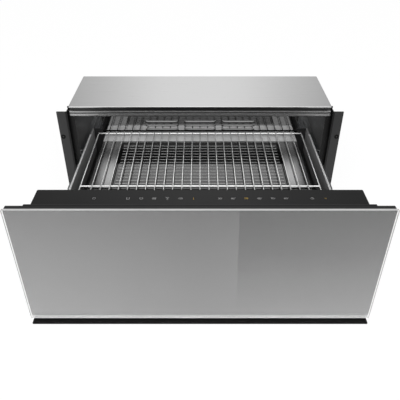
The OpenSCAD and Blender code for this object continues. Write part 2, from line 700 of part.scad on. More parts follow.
module plate_cut(g) round_rect(-plate_w / 2 - g, plate_w / 2 + g, plate_cy - plate_d / 2 - g, plate_cy + plate_d / 2 + g, plate_r + g);
floor_front = y_box + 4;
module drawer_floor() color([0.72, 0.72, 0.72]) {
    // raised pan turned upside down, with a hemmed window for the glass plate
    difference() {
        union() {
            along_z(floor_z - box_sheet, floor_z) rect(-floor_w / 2, floor_w / 2, floor_front, y_wall);
            both() box(floor_w / 2 - box_sheet, floor_w / 2, floor_front, y_wall, base_in, floor_z);
            sym_box(floor_w, floor_front, floor_front + box_sheet, base_in, floor_z);
            along_z(plate_top - plate_t - 1, floor_z) plate_cut(plate_gap + box_sheet);
        }
        along_z(plate_top - plate_t, floor_z + 1) plate_cut(plate_gap);
        along_z(plate_top - plate_t - 2, floor_z) plate_cut(-8);
    }
}
module glass_plate() color([0.02, 0.02, 0.02]) along_z(plate_top - plate_t, plate_top) plate_cut(0);
module plate_ribs() color([0.3, 0.3, 0.3]) {
    w = plate_w / 2 - rib_inset;
    for (y = [y_plate - rib_back : -rib_pitch : y_plate - plate_d + rib_back])
        along_x(-w, w) polygon([[y - rib_w / 2, plate_top], [y + rib_w / 2, plate_top],
            [y + rib_w / 4, plate_top + rib_h], [y - rib_w / 4, plate_top + rib_h]]);
}

module louvre(w) {
    // lip that stands out of the wall over its opening, with end cheeks
    along_x(-w / 2, w / 2) polygon([[y_wall + 0.2, louvre_h + 1.2], [y_wall - louvre_out_d, 1.2],
        [y_wall - louvre_out_d, 0.2], [y_wall + 0.2, louvre_h]]);
    for (s = [-1, 1]) along_x(s * (w / 2 - 0.5) - 0.5, s * (w / 2 - 0.5) + 0.5)
        polygon([[y_wall + 0.2, 0], [y_wall + 0.2, louvre_h + 1.2], [y_wall - louvre_out_d, 1.2], [y_wall - louvre_out_d, 0.2]]);
}
louvre_x = louvre_mid / 2 + louvre_gap + louvre_out / 2;
groups = [[-louvre_x, louvre_out], [0, louvre_mid], [louvre_x, louvre_out]];
function row_z(i) = floor_z + louvre_up + i * louvre_pitch;
module rear_wall() color([0.6, 0.6, 0.6]) {
    difference() {
        union() {
            sym_box(wall_plate_w, y_wall, y_rear, base_in, floor_z + wall_up);
            both() box(casing_w / 2 + 8, wall_plate_w / 2, y_wall, y_wall + 9, floor_z + wall_up - box_sheet, floor_z + wall_up);
        }
        for (g = groups, i = [0:louvre_rows - 1])
            translate([g[0], 0, row_z(i)]) sym_box(g[1] - 2, y_wall - 1, y_rear + 1, 0, louvre_h);
    }
    for (g = groups, i = [0:louvre_rows - 1]) translate([g[0], 0, row_z(i)]) louvre(g[1]);
}

module wire_rack() color("silver") {
    y0 = y_bar3 - wire_over;
    y1 = y_bar1 + wire_over;
    for (y = [y_bar1, y_bar2, y_bar3]) rod_x(-rack_w / 2, rack_w / 2, y, bar_z, bar_d);
    for (i = [-rack_half_n:rack_half_n]) rod_y(i * wire_pitch, y0, y1, wire_z, wire_d);
    both() rod_y(rack_w / 2 + 0.6, y_bar3 - bar_d, y_bar1 + bar_d, bar_z, bar_d + 0.6);
    both() for (y = [y_bar1, y_bar2, y_bar3]) rod_z(floor_w / 2 - 12, y, floor_z, bar_z - 0.3, 3);
}

module reflector_tray() color("silver") {
    w = plate_w / 2 - 12;
    y0 = plate_cy - plate_d / 2 + 12;
    y1 = plate_cy + plate_d / 2 - 12;
    difference() {
        box(-w, w, y0, y1, reflector_z, plate_top - plate_t - 1);
        box(-w + 1, w - 1, y0 + 1, y1 - 1, reflector_z + 1, plate_top);
    }
    // saddles for the rod
    for (y = [y0 + 50, plate_cy, y1 - 50], x = [for (i = [0:rod_runs - 1]) (i - (rod_runs - 1) / 2) * rod_pitch])
        box(x - 5, x + 5, y - 1, y + 1, reflector_z + 1 - eps, reflector_z + 1 + 3);
}
rod_z0 = reflector_z + 4 + rod_d / 2;
rod_r = rod_pitch / 2;
module heating_rod() color([0.25, 0.22, 0.2]) {
    // serpentine rod: straight runs joined by half rings
    l = plate_d / 2 - 24 - rod_r;
    for (i = [0:rod_runs - 1]) let (x = (i - (rod_runs - 1) / 2) * rod_pitch) {
        rod_y(x, plate_cy - l, plate_cy + l, rod_z0, rod_d);
        if (i < rod_runs - 1) translate([x + rod_r, plate_cy + (i % 2 == 0 ? l : -l), rod_z0])
            rotate(i % 2 == 0 ? 0 : 180) rotate_extrude(angle = 180) translate([rod_r, 0]) circle(d = rod_d);
    }
}
module insulation_pad() color([0.8, 0.78, 0.7])
    sym_box(floor_w - 2 * box_sheet - 2, floor_front + box_sheet + 2, y_wall - 2, base_in, reflector_z);

// ---------------------------------------------------------------- fan
module fan_casing() color([0.5, 0.5, 0.5]) difference() {
    union() {
        along_y(y_rear, y_rear + casing_d) round_rect(-casing_w / 2, casing_w / 2, casing_z, casing_z + casing_h, 10);
        along_y(y_rear, y_rear + 1.2) round_rect(-casing_w / 2 - 7, casing_w / 2 + 7, casing_z, casing_z + casing_h, 10);
    }
    along_y(y_rear - 1, y_rear + casing_d - box_sheet)
        round_rect(-casing_w / 2 + box_sheet, casing_w / 2 - box_sheet, casing_z + box_sheet, casing_z + casing_h - box_sheet, 9);
}
module fan_motor() color([0.3, 0.3, 0.3]) difference() {
    union() {
        rod_y(0, motor_y, motor_y + motor_t, fan_z, motor_d);
        along_y(motor_y + motor_t - 2, motor_y + motor_t) translate([0, fan_z]) round_rect(-34, 34, -6, 6, 5.9);
    }
    rod_y(0, motor_y - 1, motor_y + motor_t - 3, fan_z, shaft_d + 0.1);
}
module fan_wheel() color([0.75, 0.75, 0.76]) {
    r = fan_d / 2;
    rod_y(0, fan_y + 1, motor_y + motor_t - 4, fan_z, shaft_d);
    rod_y(0, fan_y + 2, fan_y + fan_t, fan_z, 14);
    difference() {
        rod_y(0, fan_y + fan_t - 1.2, fan_y + fan_t, fan_z, fan_d);
        for (a = [0:60:300]) translate([0, 0, fan_z]) rotate([0, a, 0]) translate([0, 0, -fan_z]) rod_y(15, fan_y, fan_y + fan_t + 1, fan_z, 8);
    }
    difference() {
        rod_y(0, fan_y, fan_y + 1.2, fan_z, fan_d);
        rod_y(0, fan_y - 1, fan_y + 2, fan_z, fan_d - 16);
    }
    for (i = [0:fan_n - 1]) translate([0, 0, fan_z]) rotate([0, i * 360 / fan_n, 0])
        translate([r - 5, fan_y + fan_t / 2, 0]) rotate([0, 35, 0]) cube([9, fan_t - 0.6, 0.8], center = true);
}
module drawer_screws() color("gray") {
    both() translate([side_out + 2, y_box + 45, base_in + 15]) rotate([0, 90, 0]) pan_head(8, 2.6, 1.2);
    both() for (z = [12, 70]) translate([casing_w / 2 + 3.5, y_rear + 1.2, casing_z + z]) rotate([-90, 0, 0]) pan_head(5.5, 2, 0.9);
}

bottom_pan();
side_panel_left();
side_panel_right();
rear_panel();
top_cover();
cover_spacer();
cover_end_caps();
ceiling_panel();
cavity_baffle();
front_cross_rail();
lower_front_panel();
mounting_flange_left();
mounting_flange_right();
flange_bushings();
housing_screws();
cable_gland();
terminal_block();
power_module();
push_housing();
push_plunger();
push_spring();
slide_outer_left();
slide_outer_right();
slide_middle_left();
slide_middle_right();
slide_balls_left();
slide_balls_right();
slide_inner_left();
slide_inner_right();
door_glass();
door_backing();
door_tray();
door_inner_panel();
bottom_trim();
control_housing();
control_glass();
control_board();
door_bracket_left();
door_bracket_right();
drawer_base();
drawer_side_left();
drawer_side_right();
side_rims();
drawer_floor();
glass_plate();
plate_ribs();
rear_wall();
wire_rack();
reflector_tray();
heating_rod();
insulation_pad();
fan_casing();
fan_motor();
fan_wheel();
drawer_screws();
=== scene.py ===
# %% [markdown]
# # A built-in warming drawer, pulled open
# The object is a drawer that keeps plates and food warm. Its housing is screwed into a kitchen
# cabinet, and the drawer runs out of it on telescopic slides. Every size comes from the packed
# model, which is loaded first and stays where it is; this lesson only dresses it.

# %% Load the fixed frame
import math
import bmesh
import bpy
from mathutils import Matrix, Vector


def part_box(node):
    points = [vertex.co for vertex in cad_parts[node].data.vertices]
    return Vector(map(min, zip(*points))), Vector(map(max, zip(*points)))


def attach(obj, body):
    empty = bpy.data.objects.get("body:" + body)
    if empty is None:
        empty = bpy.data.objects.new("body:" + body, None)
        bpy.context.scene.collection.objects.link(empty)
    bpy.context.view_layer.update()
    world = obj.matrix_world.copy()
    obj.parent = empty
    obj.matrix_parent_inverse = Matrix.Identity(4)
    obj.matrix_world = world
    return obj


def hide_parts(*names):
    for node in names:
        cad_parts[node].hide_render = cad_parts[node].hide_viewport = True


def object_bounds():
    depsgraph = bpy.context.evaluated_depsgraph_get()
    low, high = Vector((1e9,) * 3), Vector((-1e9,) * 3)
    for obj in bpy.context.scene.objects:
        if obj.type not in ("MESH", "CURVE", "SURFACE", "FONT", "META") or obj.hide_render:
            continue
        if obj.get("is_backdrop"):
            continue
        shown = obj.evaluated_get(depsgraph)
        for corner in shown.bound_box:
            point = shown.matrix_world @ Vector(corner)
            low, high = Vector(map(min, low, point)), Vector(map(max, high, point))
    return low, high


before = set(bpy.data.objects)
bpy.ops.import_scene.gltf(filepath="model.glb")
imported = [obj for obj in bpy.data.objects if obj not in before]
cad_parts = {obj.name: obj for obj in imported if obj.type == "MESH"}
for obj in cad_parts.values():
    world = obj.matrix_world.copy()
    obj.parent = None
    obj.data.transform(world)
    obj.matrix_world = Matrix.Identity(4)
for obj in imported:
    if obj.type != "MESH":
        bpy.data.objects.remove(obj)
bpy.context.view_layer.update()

MM = 0.001

# %% [markdown]
# The camera stands in front of the drawer, a little above head height, and looks down at it.
# Its place follows from the two vanishing points of the photographed edges, so the lens stays
# unshifted and no depth of field is needed.


# %% Camera
def new_object(name, data):
    """An object of the scene that shows its data."""
    thing = bpy.data.objects.new(name, data)
    bpy.context.scene.collection.objects.link(thing)
    return thing


LENS, FILM_WIDTH = 44.64, 36.0  # mm
LOOKS_DOWN = 35.4  # degrees below level
camera_data = bpy.data.cameras.new("view_camera")
camera_data.lens = LENS
camera_data.sensor_width = FILM_WIDTH
camera_data.clip_start = 0.01
camera = new_object("view_camera", camera_data)
camera.location = (0.0, -1.178, 0.8616)
camera.rotation_euler = (math.radians(90.0 - LOOKS_DOWN), 0.0, 0.0)
bpy.context.scene.camera = camera
bpy.context.scene.view_settings.view_transform = "Standard"
print("camera at", tuple(camera.location), "lens", camera_data.lens)

# %% [markdown]
# A node tree written in script needs three things again and again: a new node, a value on one
# of its sockets and a link. These helpers do that for materials, shader groups and geometry
# trees alike. A maths node takes numbers or other sockets in the same call.


# %% Node helpers
def add_node(tree, kind, values=None, **settings):
    """A node of the kind with its settings, and its input sockets set or linked."""
    node = tree.nodes.new(kind)
    for key, value in settings.items():
        setattr(node, key, value)
    for key, value in (values or {}).items():
        plug(tree, value, node.inputs[key])
    return node


def plug(tree, value, socket):
    """Links a socket to a socket, or writes a plain value on it."""
    if isinstance(value, bpy.types.NodeSocket):
        tree.links.new(value, socket)
    else:
        socket.default_value = value


def made(tree, kind, values=None, **settings):
    """The first output of a new node."""
    return add_node(tree, kind, values, **settings).outputs[0]


def rays(tree):
    """The outputs of a Light Path node, by name."""
    return add_node(tree, "ShaderNodeLightPath").outputs


def object_spot(tree):
    """The place in the object's own frame, as a vector."""
    return add_node(tree, "ShaderNodeTexCoord").outputs["Object"]


def split(tree, vector):
    """The X, Y and Z of a vector, by name."""
    return add_node(tree, "ShaderNodeSeparateXYZ", {0: vector}).outputs


def maths(tree, operation, *values, clamp=False):
    """A Math node on numbers or sockets; returns its result socket."""
    return made(tree, "ShaderNodeMath", dict(enumerate(values)), operation=operation,
                use_clamp=clamp)


def vector_maths(tree, operation, *values):
    """A Vector Math node; returns the socket that its operation fills."""
    node = add_node(tree, "ShaderNodeVectorMath", dict(enumerate(values)), operation=operation)
    return node.outputs["Value" if operation == "DOT_PRODUCT" else "Vector"]


def remap(tree, value, low, high, to_low=0.0, to_high=1.0):
    """A clamped Map Range node; returns its result socket."""
    return add_node(tree, "ShaderNodeMapRange", {
        "Value": value, "From Min": low, "From Max": high, "To Min": to_low, "To Max": to_high},
        clamp=True).outputs["Result"]


def between(tree, mask, at_zero, at_one):
    """The number that a mask from 0 to 1 picks between two numbers."""
    return remap(tree, mask, 0.0, 1.0, at_zero, at_one)


def product(tree, *values):
    """All the values multiplied with each other."""
    result = values[0]
    for value in values[1:]:
        result = maths(tree, "MULTIPLY", result, value)
    return result


def mix_colours(tree, mask, first, second):
    """A colour between two colours by a mask; returns the colour socket."""
    return add_node(tree, "ShaderNodeMix", {0: mask, 6: first, 7: second},
                    data_type="RGBA").outputs[2]


def rgb(*parts):
    """A colour with alpha from one grey value or three."""
    return (*(parts if len(parts) == 3 else parts * 3), 1.0)


def new_group(name, kind, inputs, outputs):
    """A node group with named sockets; returns it, its inputs and its outputs."""
    group = bpy.data.node_groups.new(name, kind)
    for way, sockets in (("INPUT", inputs), ("OUTPUT", outputs)):
        for label, value_kind, *value in sockets:
            socket = group.interface.new_socket(label, in_out=way,
                                                socket_type="NodeSocket" + value_kind)
            if value:
                socket.default_value = value[0]
    entry, result = group.nodes.new("NodeGroupInput"), group.nodes.new("NodeGroupOutput")
    return group, entry.outputs, result.inputs


print("node helpers ready")

# %% [markdown]
# The drawer stands on a plain pale floor in front of nothing. Camera and see-through rays meet
# white behind the object, while diffuse light stays at a plain level. Metal needs more than a
# plain level: brushed steel is mostly a picture of the room. So glossy rays meet a studio: a
# wide soft lamp behind the object that falls off to both sides, a bright top, and in front a
# dark ground, a bright band, a dark gap and a bright top. It is all written as a level over the
# ray's direction: its turn from straight behind, in radians, and the sine of its height.

# %% World
DIFFUSE_LEVEL = 0.52
BACK_LAMP, BACK_TOP = (0.09, 0.38, 1.12, 0.35), (0.62, 0.85, 0.0, 0.9)  # from, to, levels
BAND_START, BAND_END, TOP_START = (0.22, 0.40), (0.476, 0.484), (0.53, 0.60)
GROUND, BAND, GAP_SHARE, TOP = 0.12, 1.6, 0.04, 1.8
FRONT_START = (1.9, 2.4)
world = bpy.data.worlds.new("studio")
world.use_nodes = True
bpy.context.scene.world = world
tree = world.node_tree
tree.nodes.clear()
path = rays(tree)
way = split(tree, made(tree, "ShaderNodeTexCoord"))
turn = maths(tree, "ABSOLUTE", maths(tree, "ARCTAN2", way["X"], way["Y"]))
behind = maths(tree, "ADD", remap(tree, turn, *BACK_LAMP), remap(tree, way["Z"], *BACK_TOP))
low_band = product(tree, remap(tree, way["Z"], *BAND_START, GROUND, BAND),
                   remap(tree, way["Z"], *BAND_END, 1.0, GAP_SHARE))
in_front = maths(tree, "ADD", low_band, remap(tree, way["Z"], *TOP_START, 0.0, TOP))
studio = between(tree, remap(tree, turn, *FRONT_START), behind, in_front)
through = product(tree, path["Is Transmission Ray"], maths(tree, "GREATER_THAN", way["Y"], 0.0))
sees_white = maths(tree, "ADD", path["Is Camera Ray"], through, clamp=True)
mirrors = maths(tree, "ADD", path["Is Glossy Ray"], path["Is Transmission Ray"], clamp=True)
level = between(tree, sees_white, between(tree, mirrors, DIFFUSE_LEVEL, studio), 1.0)
sky = made(tree, "ShaderNodeBackground", {"Color": rgb(1.0), "Strength": level})
plug(tree, sky, add_node(tree, "ShaderNodeOutputWorld").inputs[0])
print("world: diffuse level", DIFFUSE_LEVEL)

# %% [markdown]
# The floor is a large sheet at the object's underside. For the camera it is a white glow with a
# little of the real diffuse shade, so a soft shadow stays. The front of the drawer mirrors the
# floor before it: the floor's glow fades away from the door and a little towards its middle,
# which gives the steel its slow gradients. The glass alone mirrors one more thing, the straight
# edge of a darker floor paper that lies to the right.


# %% Floor
def empty_material(name):
    """A material whose tree holds only its output node; returns it with tree and output."""
    material = bpy.data.materials.new(name)
    material.use_nodes = True
    material.node_tree.nodes.clear()
    output = material.node_tree.nodes.new("ShaderNodeOutputMaterial")
    return material, material.node_tree, output


FLOOR_HALF, FLOOR_Z = 8.0, -0.2 * MM
GLASS_GLOW, CAMERA_GLOW, CAMERA_SHARE = 1.1, 1.06, 0.88
EDGE_X, EDGE_Y, EDGE_SLOPE = 0.0827, -0.47, 0.087  # a point on the paper's edge, and its slant
sheet = bpy.data.meshes.new("pale_floor")
sheet.from_pydata([(x * FLOOR_HALF, y * FLOOR_HALF, FLOOR_Z)
                   for x, y in ((-1, -1), (1, -1), (1, 1), (-1, 1))], [], [(0, 1, 2, 3)])
floor = new_object("pale_floor", sheet)
floor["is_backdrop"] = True
paper, tree, output = empty_material("pale_paper")
path, place = rays(tree), split(tree, object_spot(tree))
near_door = remap(tree, place["Y"], -0.86, -0.44, 0.56, 1.0)
far_off = remap(tree, place["Y"], -1.6, -0.9, 0.3, 1.0)
sideways = maths(tree, "ADD", remap(tree, place["X"], -0.52, 0.0, 1.0, 0.75),
                 remap(tree, place["X"], 0.0, 0.52, 0.0, 0.12))
behind_door = remap(tree, place["Y"], -0.43, -0.42)
floor_glow = maths(tree, "MAXIMUM", product(tree, near_door, far_off, sideways), behind_door)
paper_edge = maths(tree, "ADD", EDGE_X, product(tree, EDGE_SLOPE,
                                                maths(tree, "SUBTRACT", EDGE_Y, place["Y"])))
darker = product(tree, remap(tree, maths(tree, "SUBTRACT", place["X"], paper_edge), -0.001, 0.002),
                 remap(tree, place["Y"], -0.66, -0.455, 0.96, 0.0))
glass_only = maths(tree, "SUBTRACT", path["Is Glossy Ray"], path["Is Transmission Ray"], clamp=True)
mirrored = between(tree, glass_only, floor_glow, between(tree, darker, GLASS_GLOW, 0.0))
seen = path["Is Camera Ray"]
glow = between(tree, seen, mirrored, CAMERA_GLOW)
white = made(tree, "ShaderNodeEmission", {"Color": rgb(1.0), "Strength": glow})
matt = made(tree, "ShaderNodeBsdfDiffuse", {"Color": rgb(0.86)})
share = maths(tree, "ADD", product(tree, seen, CAMERA_SHARE), path["Is Glossy Ray"])
share = maths(tree, "ADD", share, path["Is Transmission Ray"], clamp=True)
plug(tree, made(tree, "ShaderNodeMixShader", {0: share, 1: matt, 2: white}), output.inputs[0])
paper.cycles.emission_sampling = "NONE"
floor.data.materials.append(paper)
print("stage:", floor.name)

# %% [markdown]
# Two wide lamps light the object softly from high in front. They act on diffuse surfaces only;
# what metal mirrors is the studio written above. Their power is set so that a surface of a given
# colour renders about as that colour is written. A third lamp lies flat under the housing's
# ceiling: wires, rims and the glass plate in the drawer mirror it. It shows in a first mirror
# only, so the polished wall behind the rack shows dark wires.


# %% Lamps
def soft_lamp(name, place, aim, width, height, power, mirrored=False):
    """An area lamp at a place, turned towards a point; metal shows it only if mirrored."""
    data = bpy.data.lights.new(name, "AREA")
    data.shape = "RECTANGLE"
    data.size, data.size_y, data.energy = width, height, power
    lamp = new_object(name, data)
    lamp.location = place
    lamp.rotation_euler = (Vector(aim) - Vector(place)).to_track_quat("-Z", "Y").to_euler()
    lamp.visible_camera = False
    lamp.visible_glossy = mirrored
    return lamp


soft_lamp("key_lamp", (-0.7, -2.2, 2.1), (0, -0.1, 0.15), 1.2, 1.0, 30.0)
soft_lamp("fill_lamp", (0.8, -2.0, 2.0), (0, -0.1, 0.15), 1.0, 1.0, 16.0)
ceiling_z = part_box("ceiling_panel")[0].z
ceiling_y = 92.0 * MM
ceiling_lamp = soft_lamp("ceiling_lamp", (0, ceiling_y, ceiling_z - 1.5 * MM), (0, ceiling_y, 0.0),
                         0.6, 0.145, 0.44, mirrored=True)
ceiling_lamp.data.use_nodes = True
tree = ceiling_lamp.data.node_tree
plug(tree, maths(tree, "LESS_THAN", rays(tree)["Glossy Depth"], 1.5),
     next(n for n in tree.nodes if n.type == "EMISSION").inputs["Strength"])

# %% [markdown]
# Effects that several finishes share are shader groups. Each puts out a mask, a height or a
# normal that changes over the surface, and the material decides what to do with it. Brushing
# is noise stretched along one axis; the stretch vector holds how fast it varies along X, Y, Z.


# %% Shader group: brushing
def noise(tree, vector, scale, detail=2.0, roughness=0.5):
    """A Noise texture on a vector; returns its value socket."""
    return made(tree, "ShaderNodeTexNoise", {
        "Vector": vector, "Scale": scale, "Detail": detail, "Roughness": roughness})


def clouds(tree, vector, scale, detail):
    """Noise spread over the whole range from 0 to 1."""
    return remap(tree, noise(tree, vector, scale, detail), 0.3, 0.7)


brushing, given, result = new_group(
    "brushing", "ShaderNodeTree",
    [("Stretch", "Vector", (10.0, 1500.0, 1500.0)), ("Cloud Scale", "Float", 6.0)],
    [("Streak", "Float"), ("Cloud", "Float")])
spot = object_spot(brushing)
stretched = vector_maths(brushing, "MULTIPLY", spot, given["Stretch"])
fine = noise(brushing, stretched, 1.0, 4.0, 0.7)
broad = noise(brushing, stretched, 0.35)
plug(brushing, remap(brushing, between(brushing, 0.4, fine, broad), 0.3, 0.7), result["Streak"])
plug(brushing, clouds(brushing, spot, given["Cloud Scale"], 3.0), result["Cloud"])
print("group:", brushing.name)

# %% [markdown]
# Sheet steel, paint and moulded plastic have no truly sharp edge. The edge group asks the
# Bevel node for a normal that runs round the edge within a small radius. Where that normal
# leaves the true one, an edge is near, and there paint is thinner and a little polished; the
# coats also lighten their colour there, partly as wear and partly as a painted edge highlight.

# %% Shader group: edges
edges, given, result = new_group("edges", "ShaderNodeTree", [("Radius", "Float", 0.6 * MM)],
                                 [("Edge", "Float"), ("Normal", "Vector")])
round_normal = made(edges, "ShaderNodeBevel", {"Radius": given["Radius"]}, samples=4)
true_normal = add_node(edges, "ShaderNodeNewGeometry").outputs["Normal"]
same = vector_maths(edges, "DOT_PRODUCT", round_normal, true_normal)
plug(edges, remap(edges, same, 0.98, 0.8), result["Edge"])
plug(edges, round_normal, result["Normal"])
print("group:", edges.name)

# %% [markdown]
# Paint dries with a fine waviness, called orange peel, and plastic takes the grain of its
# mould. Both are the same fine noise at different scales. A slow cloud goes with it, because
# no coat or moulding shines quite evenly.

# %% Shader group: skin
skin, given, result = new_group(
    "skin", "ShaderNodeTree", [("Grain Scale", "Float", 900.0), ("Cloud Scale", "Float", 9.0)],
    [("Grain", "Float"), ("Cloud", "Float")])
spot = object_spot(skin)
plug(skin, noise(skin, spot, given["Grain Scale"]), result["Grain"])
plug(skin, clouds(skin, spot, given["Cloud Scale"], 4.0), result["Cloud"])
print("group:", skin.name)

# %% [markdown]
# Hot-dip zinc freezes into flat crystals, the spangle. A Voronoi texture gives one random
# grey to each cell, and the finish turns it into small steps of colour and shine.

# %% Shader group: zinc spangle
spangle, given, result = new_group(
    "zinc_spangle", "ShaderNodeTree", [("Cell Scale", "Float", 110.0)],
    [("Crystal", "Float"), ("Frost", "Float")])
spot = object_spot(spangle)
cells = add_node(spangle, "ShaderNodeTexVoronoi", {"Vector": spot, "Scale": given["Cell Scale"]},
                 feature="F1")
plug(spangle, made(spangle, "ShaderNodeSeparateColor", {0: cells.outputs["Color"]}),
     result["Crystal"])
plug(spangle, clouds(spangle, spot, 700.0, 3.0), result["Frost"])
print("group:", spangle.name)

# %% [markdown]
# Each finish is its own material with a Principled shader. Numbers that are the same all over
# a surface sit directly on its sockets; only what varies comes in through nodes.


# %% Material helpers
def finish(name, colour, roughness, metallic, **extra):
    """A Principled material; extra names sockets with _ for spaces."""
    material, tree, output = empty_material(name)
    shader = add_node(tree, "ShaderNodeBsdfPrincipled",
                      {"Base Color": colour, "Roughness": roughness, "Metallic": metallic})
    for key, value in extra.items():
        shader.inputs[key.replace("_", " ")].default_value = value
    plug(tree, shader.outputs[0], output.inputs[0])
    material.diffuse_color = colour
    return material, tree, shader


def placed(tree, group, **inputs):
    """A shader group placed in a material with its own values; returns its outputs."""
    node = add_node(tree, "ShaderNodeGroup", node_tree=group)
    for key, value in inputs.items():
        plug(tree, value, node.inputs[key.replace("_", " ")])
    return node.outputs


def bumped(tree, shader, height, strength, distance, normal=None):
    """A Bump node between a height and the shader's normal."""
    values = {"Height": height, "Strength": strength, "Distance": distance}
    if normal is not None:
        values["Normal"] = normal
    plug(tree, made(tree, "ShaderNodeBump", values), shader.inputs["Normal"])


def clouded(tree, shader, mask, dark, bright, shine_mask, rough):
    """Base colour that follows a mask, and roughness, if given, that follows another one."""
    plug(tree, mix_colours(tree, mask, dark, bright), shader.inputs["Base Color"])
    if rough:
        plug(tree, between(tree, shine_mask, *rough), shader.inputs["Roughness"])


def brushed_steel(name, dark, bright, rough, stretch, bump, **extra):
    """Brushed steel whose streaks run along the axis with the small stretch."""
    material, tree, shader = finish(name, bright, rough[0], 1.0, **extra)
    if extra.get("Anisotropic"):
        plug(tree, made(tree, "ShaderNodeTangent", direction_type="UV_MAP", uv_map="grain"),
             shader.inputs["Tangent"])
    lines = placed(tree, brushing, Stretch=stretch)
    rim = placed(tree, edges, Radius=0.5 * MM)
    tone = between(tree, 0.35, lines["Streak"], lines["Cloud"])
    clouded(tree, shader, tone, dark, bright, lines["Streak"], rough)
    bumped(tree, shader, lines["Streak"], bump, 0.03 * MM, rim["Normal"])
    return material


# Edges are lightened partly for wear and partly as a painted edge highlight.
CLOUD_GAIN, EDGE_WEAR_AND_SHEEN = 1.22, 0.5  # how far clouds and worn edges lighten a coat


def coated(name, colour, wear_and_sheen, rough, grain_scale, bump=0.15, metallic=0.0, **extra):
    """Painted or moulded skin with fine grain, slow clouds, and lighter edges from wear and a
    painted edge highlight.
    """
    material, tree, shader = finish(name, colour, rough[0], metallic, **extra)
    coat = placed(tree, skin, Grain_Scale=grain_scale)
    rim = placed(tree, edges, Radius=0.6 * MM)
    cloudy = rgb(*(min(1.0, c * CLOUD_GAIN) for c in colour[:3]))
    base = mix_colours(tree, coat["Cloud"], colour, cloudy)
    clouded(tree, shader, product(tree, rim["Edge"], EDGE_WEAR_AND_SHEEN), base, wear_and_sheen, coat["Cloud"], rough)
    bumped(tree, shader, coat["Grain"], bump, 0.06 * MM, rim["Normal"])
    return material


def zinced(name, dark, bright, rough, cell_scale=110.0):
    """Galvanised sheet with its crystals."""
    material, tree, shader = finish(name, bright, rough[0], 1.0)
    cells = placed(tree, spangle, Cell_Scale=cell_scale)
    rim = placed(tree, edges, Radius=0.5 * MM)
    tone = between(tree, 0.3, cells["Crystal"], cells["Frost"])
    clouded(tree, shader, tone, dark, bright, cells["Crystal"], rough)
    bumped(tree, shader, cells["Frost"], 0.1, 0.04 * MM, rim["Normal"])
    return material


def filmed(name, dark, bright, rough, cloud_scale, grain_scale=900.0, bump=None, metallic=0.0,
           **extra):
    """A skin with slow clouds, and with fine grain if bump gives its strength and depth."""
    middle = rgb(*((a + b) / 2 for a, b in zip(dark[:3], bright[:3])))
    material, tree, shader = finish(name, middle, sum(rough) / 2 if rough else 0.0, metallic,
                                    **extra)
    film = placed(tree, skin, Grain_Scale=grain_scale, Cloud_Scale=cloud_scale)
    clouded(tree, shader, film["Cloud"], dark, bright, film["Cloud"], rough)
    if bump:
        bumped(tree, shader, film["Grain"], *bump)
    return material


def reopened(material):
    """The tree and the Principled node of a finished material."""
    tree = material.node_tree
    return tree, next(n for n in tree.nodes if n.type == "BSDF_PRINCIPLED")


def zone(tree, axis, start, end, both_sides=False):
    """A mask that grows from 0 at start to 1 at end, along an axis of the object's frame."""
    place = split(tree, object_spot(tree))[axis]
    return remap(tree, maths(tree, "ABSOLUTE", place) if both_sides else place, start, end)


def tint(tree, shader, mask, colour):
    """Leads the base colour over to another one where the mask is 1."""
    tone = shader.inputs["Base Color"].links[0].from_socket
    plug(tree, mix_colours(tree, mask, tone, colour), shader.inputs["Base Color"])


print("finish helpers ready")

# %% [markdown]
# Steel comes in several states here. The cover, the wall behind the rack and the sheet behind
# the glass front are brushed from side to side, the floor from front to back less strongly,
# and the rack is polished and plated.

# %% Steel finishes
cover_steel = brushed_steel("cover_steel", rgb(0.538), rgb(0.552), (0.27, 0.29),
                            (9.0, 1300.0, 1300.0), 0.01, Anisotropic=0.8)
front_steel = brushed_steel("front_steel", rgb(0.43), rgb(0.465), (0.22, 0.25),
                            (7.0, 1400.0, 1400.0), 0.01, Anisotropic=0.6)
rail_steel = brushed_steel("rail_steel", rgb(0.37), rgb(0.42), (0.24, 0.30),
                           (9.0, 1300.0, 1300.0), 0.02)
floor_steel = brushed_steel("floor_steel", rgb(0.28), rgb(0.33), (0.22, 0.27),
                            (900.0, 14.0, 900.0), 0.03)
wall_steel = brushed_steel("wall_steel", rgb(0.36), rgb(0.41), (0.06, 0.09),
                           (11.0, 1200.0, 1200.0), 0.01, Anisotropic=0.5)
rim_steel = brushed_steel("rim_steel", rgb(0.86), rgb(0.95), (0.26, 0.32), (900.0, 9.0, 900.0),
                          0.03)
rack_chrome = filmed("rack_chrome", rgb(0.84), rgb(0.93), (0.17, 0.26), 30.0, 500.0,
                     (0.06, 0.05 * MM), 1.0)
zinc_sheet = zinced("zinc_sheet", rgb(0.36, 0.37, 0.38), rgb(0.55, 0.56, 0.57), (0.32, 0.5))
slide_zinc = zinced("slide_zinc", rgb(0.16, 0.163, 0.167), rgb(0.24, 0.244, 0.25), (0.3, 0.42),
                    260.0)
screw_steel = brushed_steel("screw_steel", rgb(0.45), rgb(0.62), (0.25, 0.35),
                            (300.0, 300.0, 300.0), 0.05)
print("steel finishes ready")

# %% [markdown]
# Some finishes change at a line, and most of these lines are painted light or shade. No light
# reaches the rail's groove, so it gets a painted shade. The floor's rear strip next to the wall
# gets
# a painted highlight: paler, rougher and less metallic. The louvres' hoods get a painted shade,
# darker than the polished wall that they are pressed out of, and a pale band of painted light,
# fading upwards, lies along the lower edge of the sheet behind the glass. Rail, rims and rack are a
# little milky, and the rack turns dark in every mirror: a painted reflection, which draws its wires
# on the polished wall.

# %% Zones of steel
UNLIT = rgb(0.06)
rail_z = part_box("front_cross_rail")[0].z
wall_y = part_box("drawer_floor")[1].y

tree, shader = reopened(rail_steel)
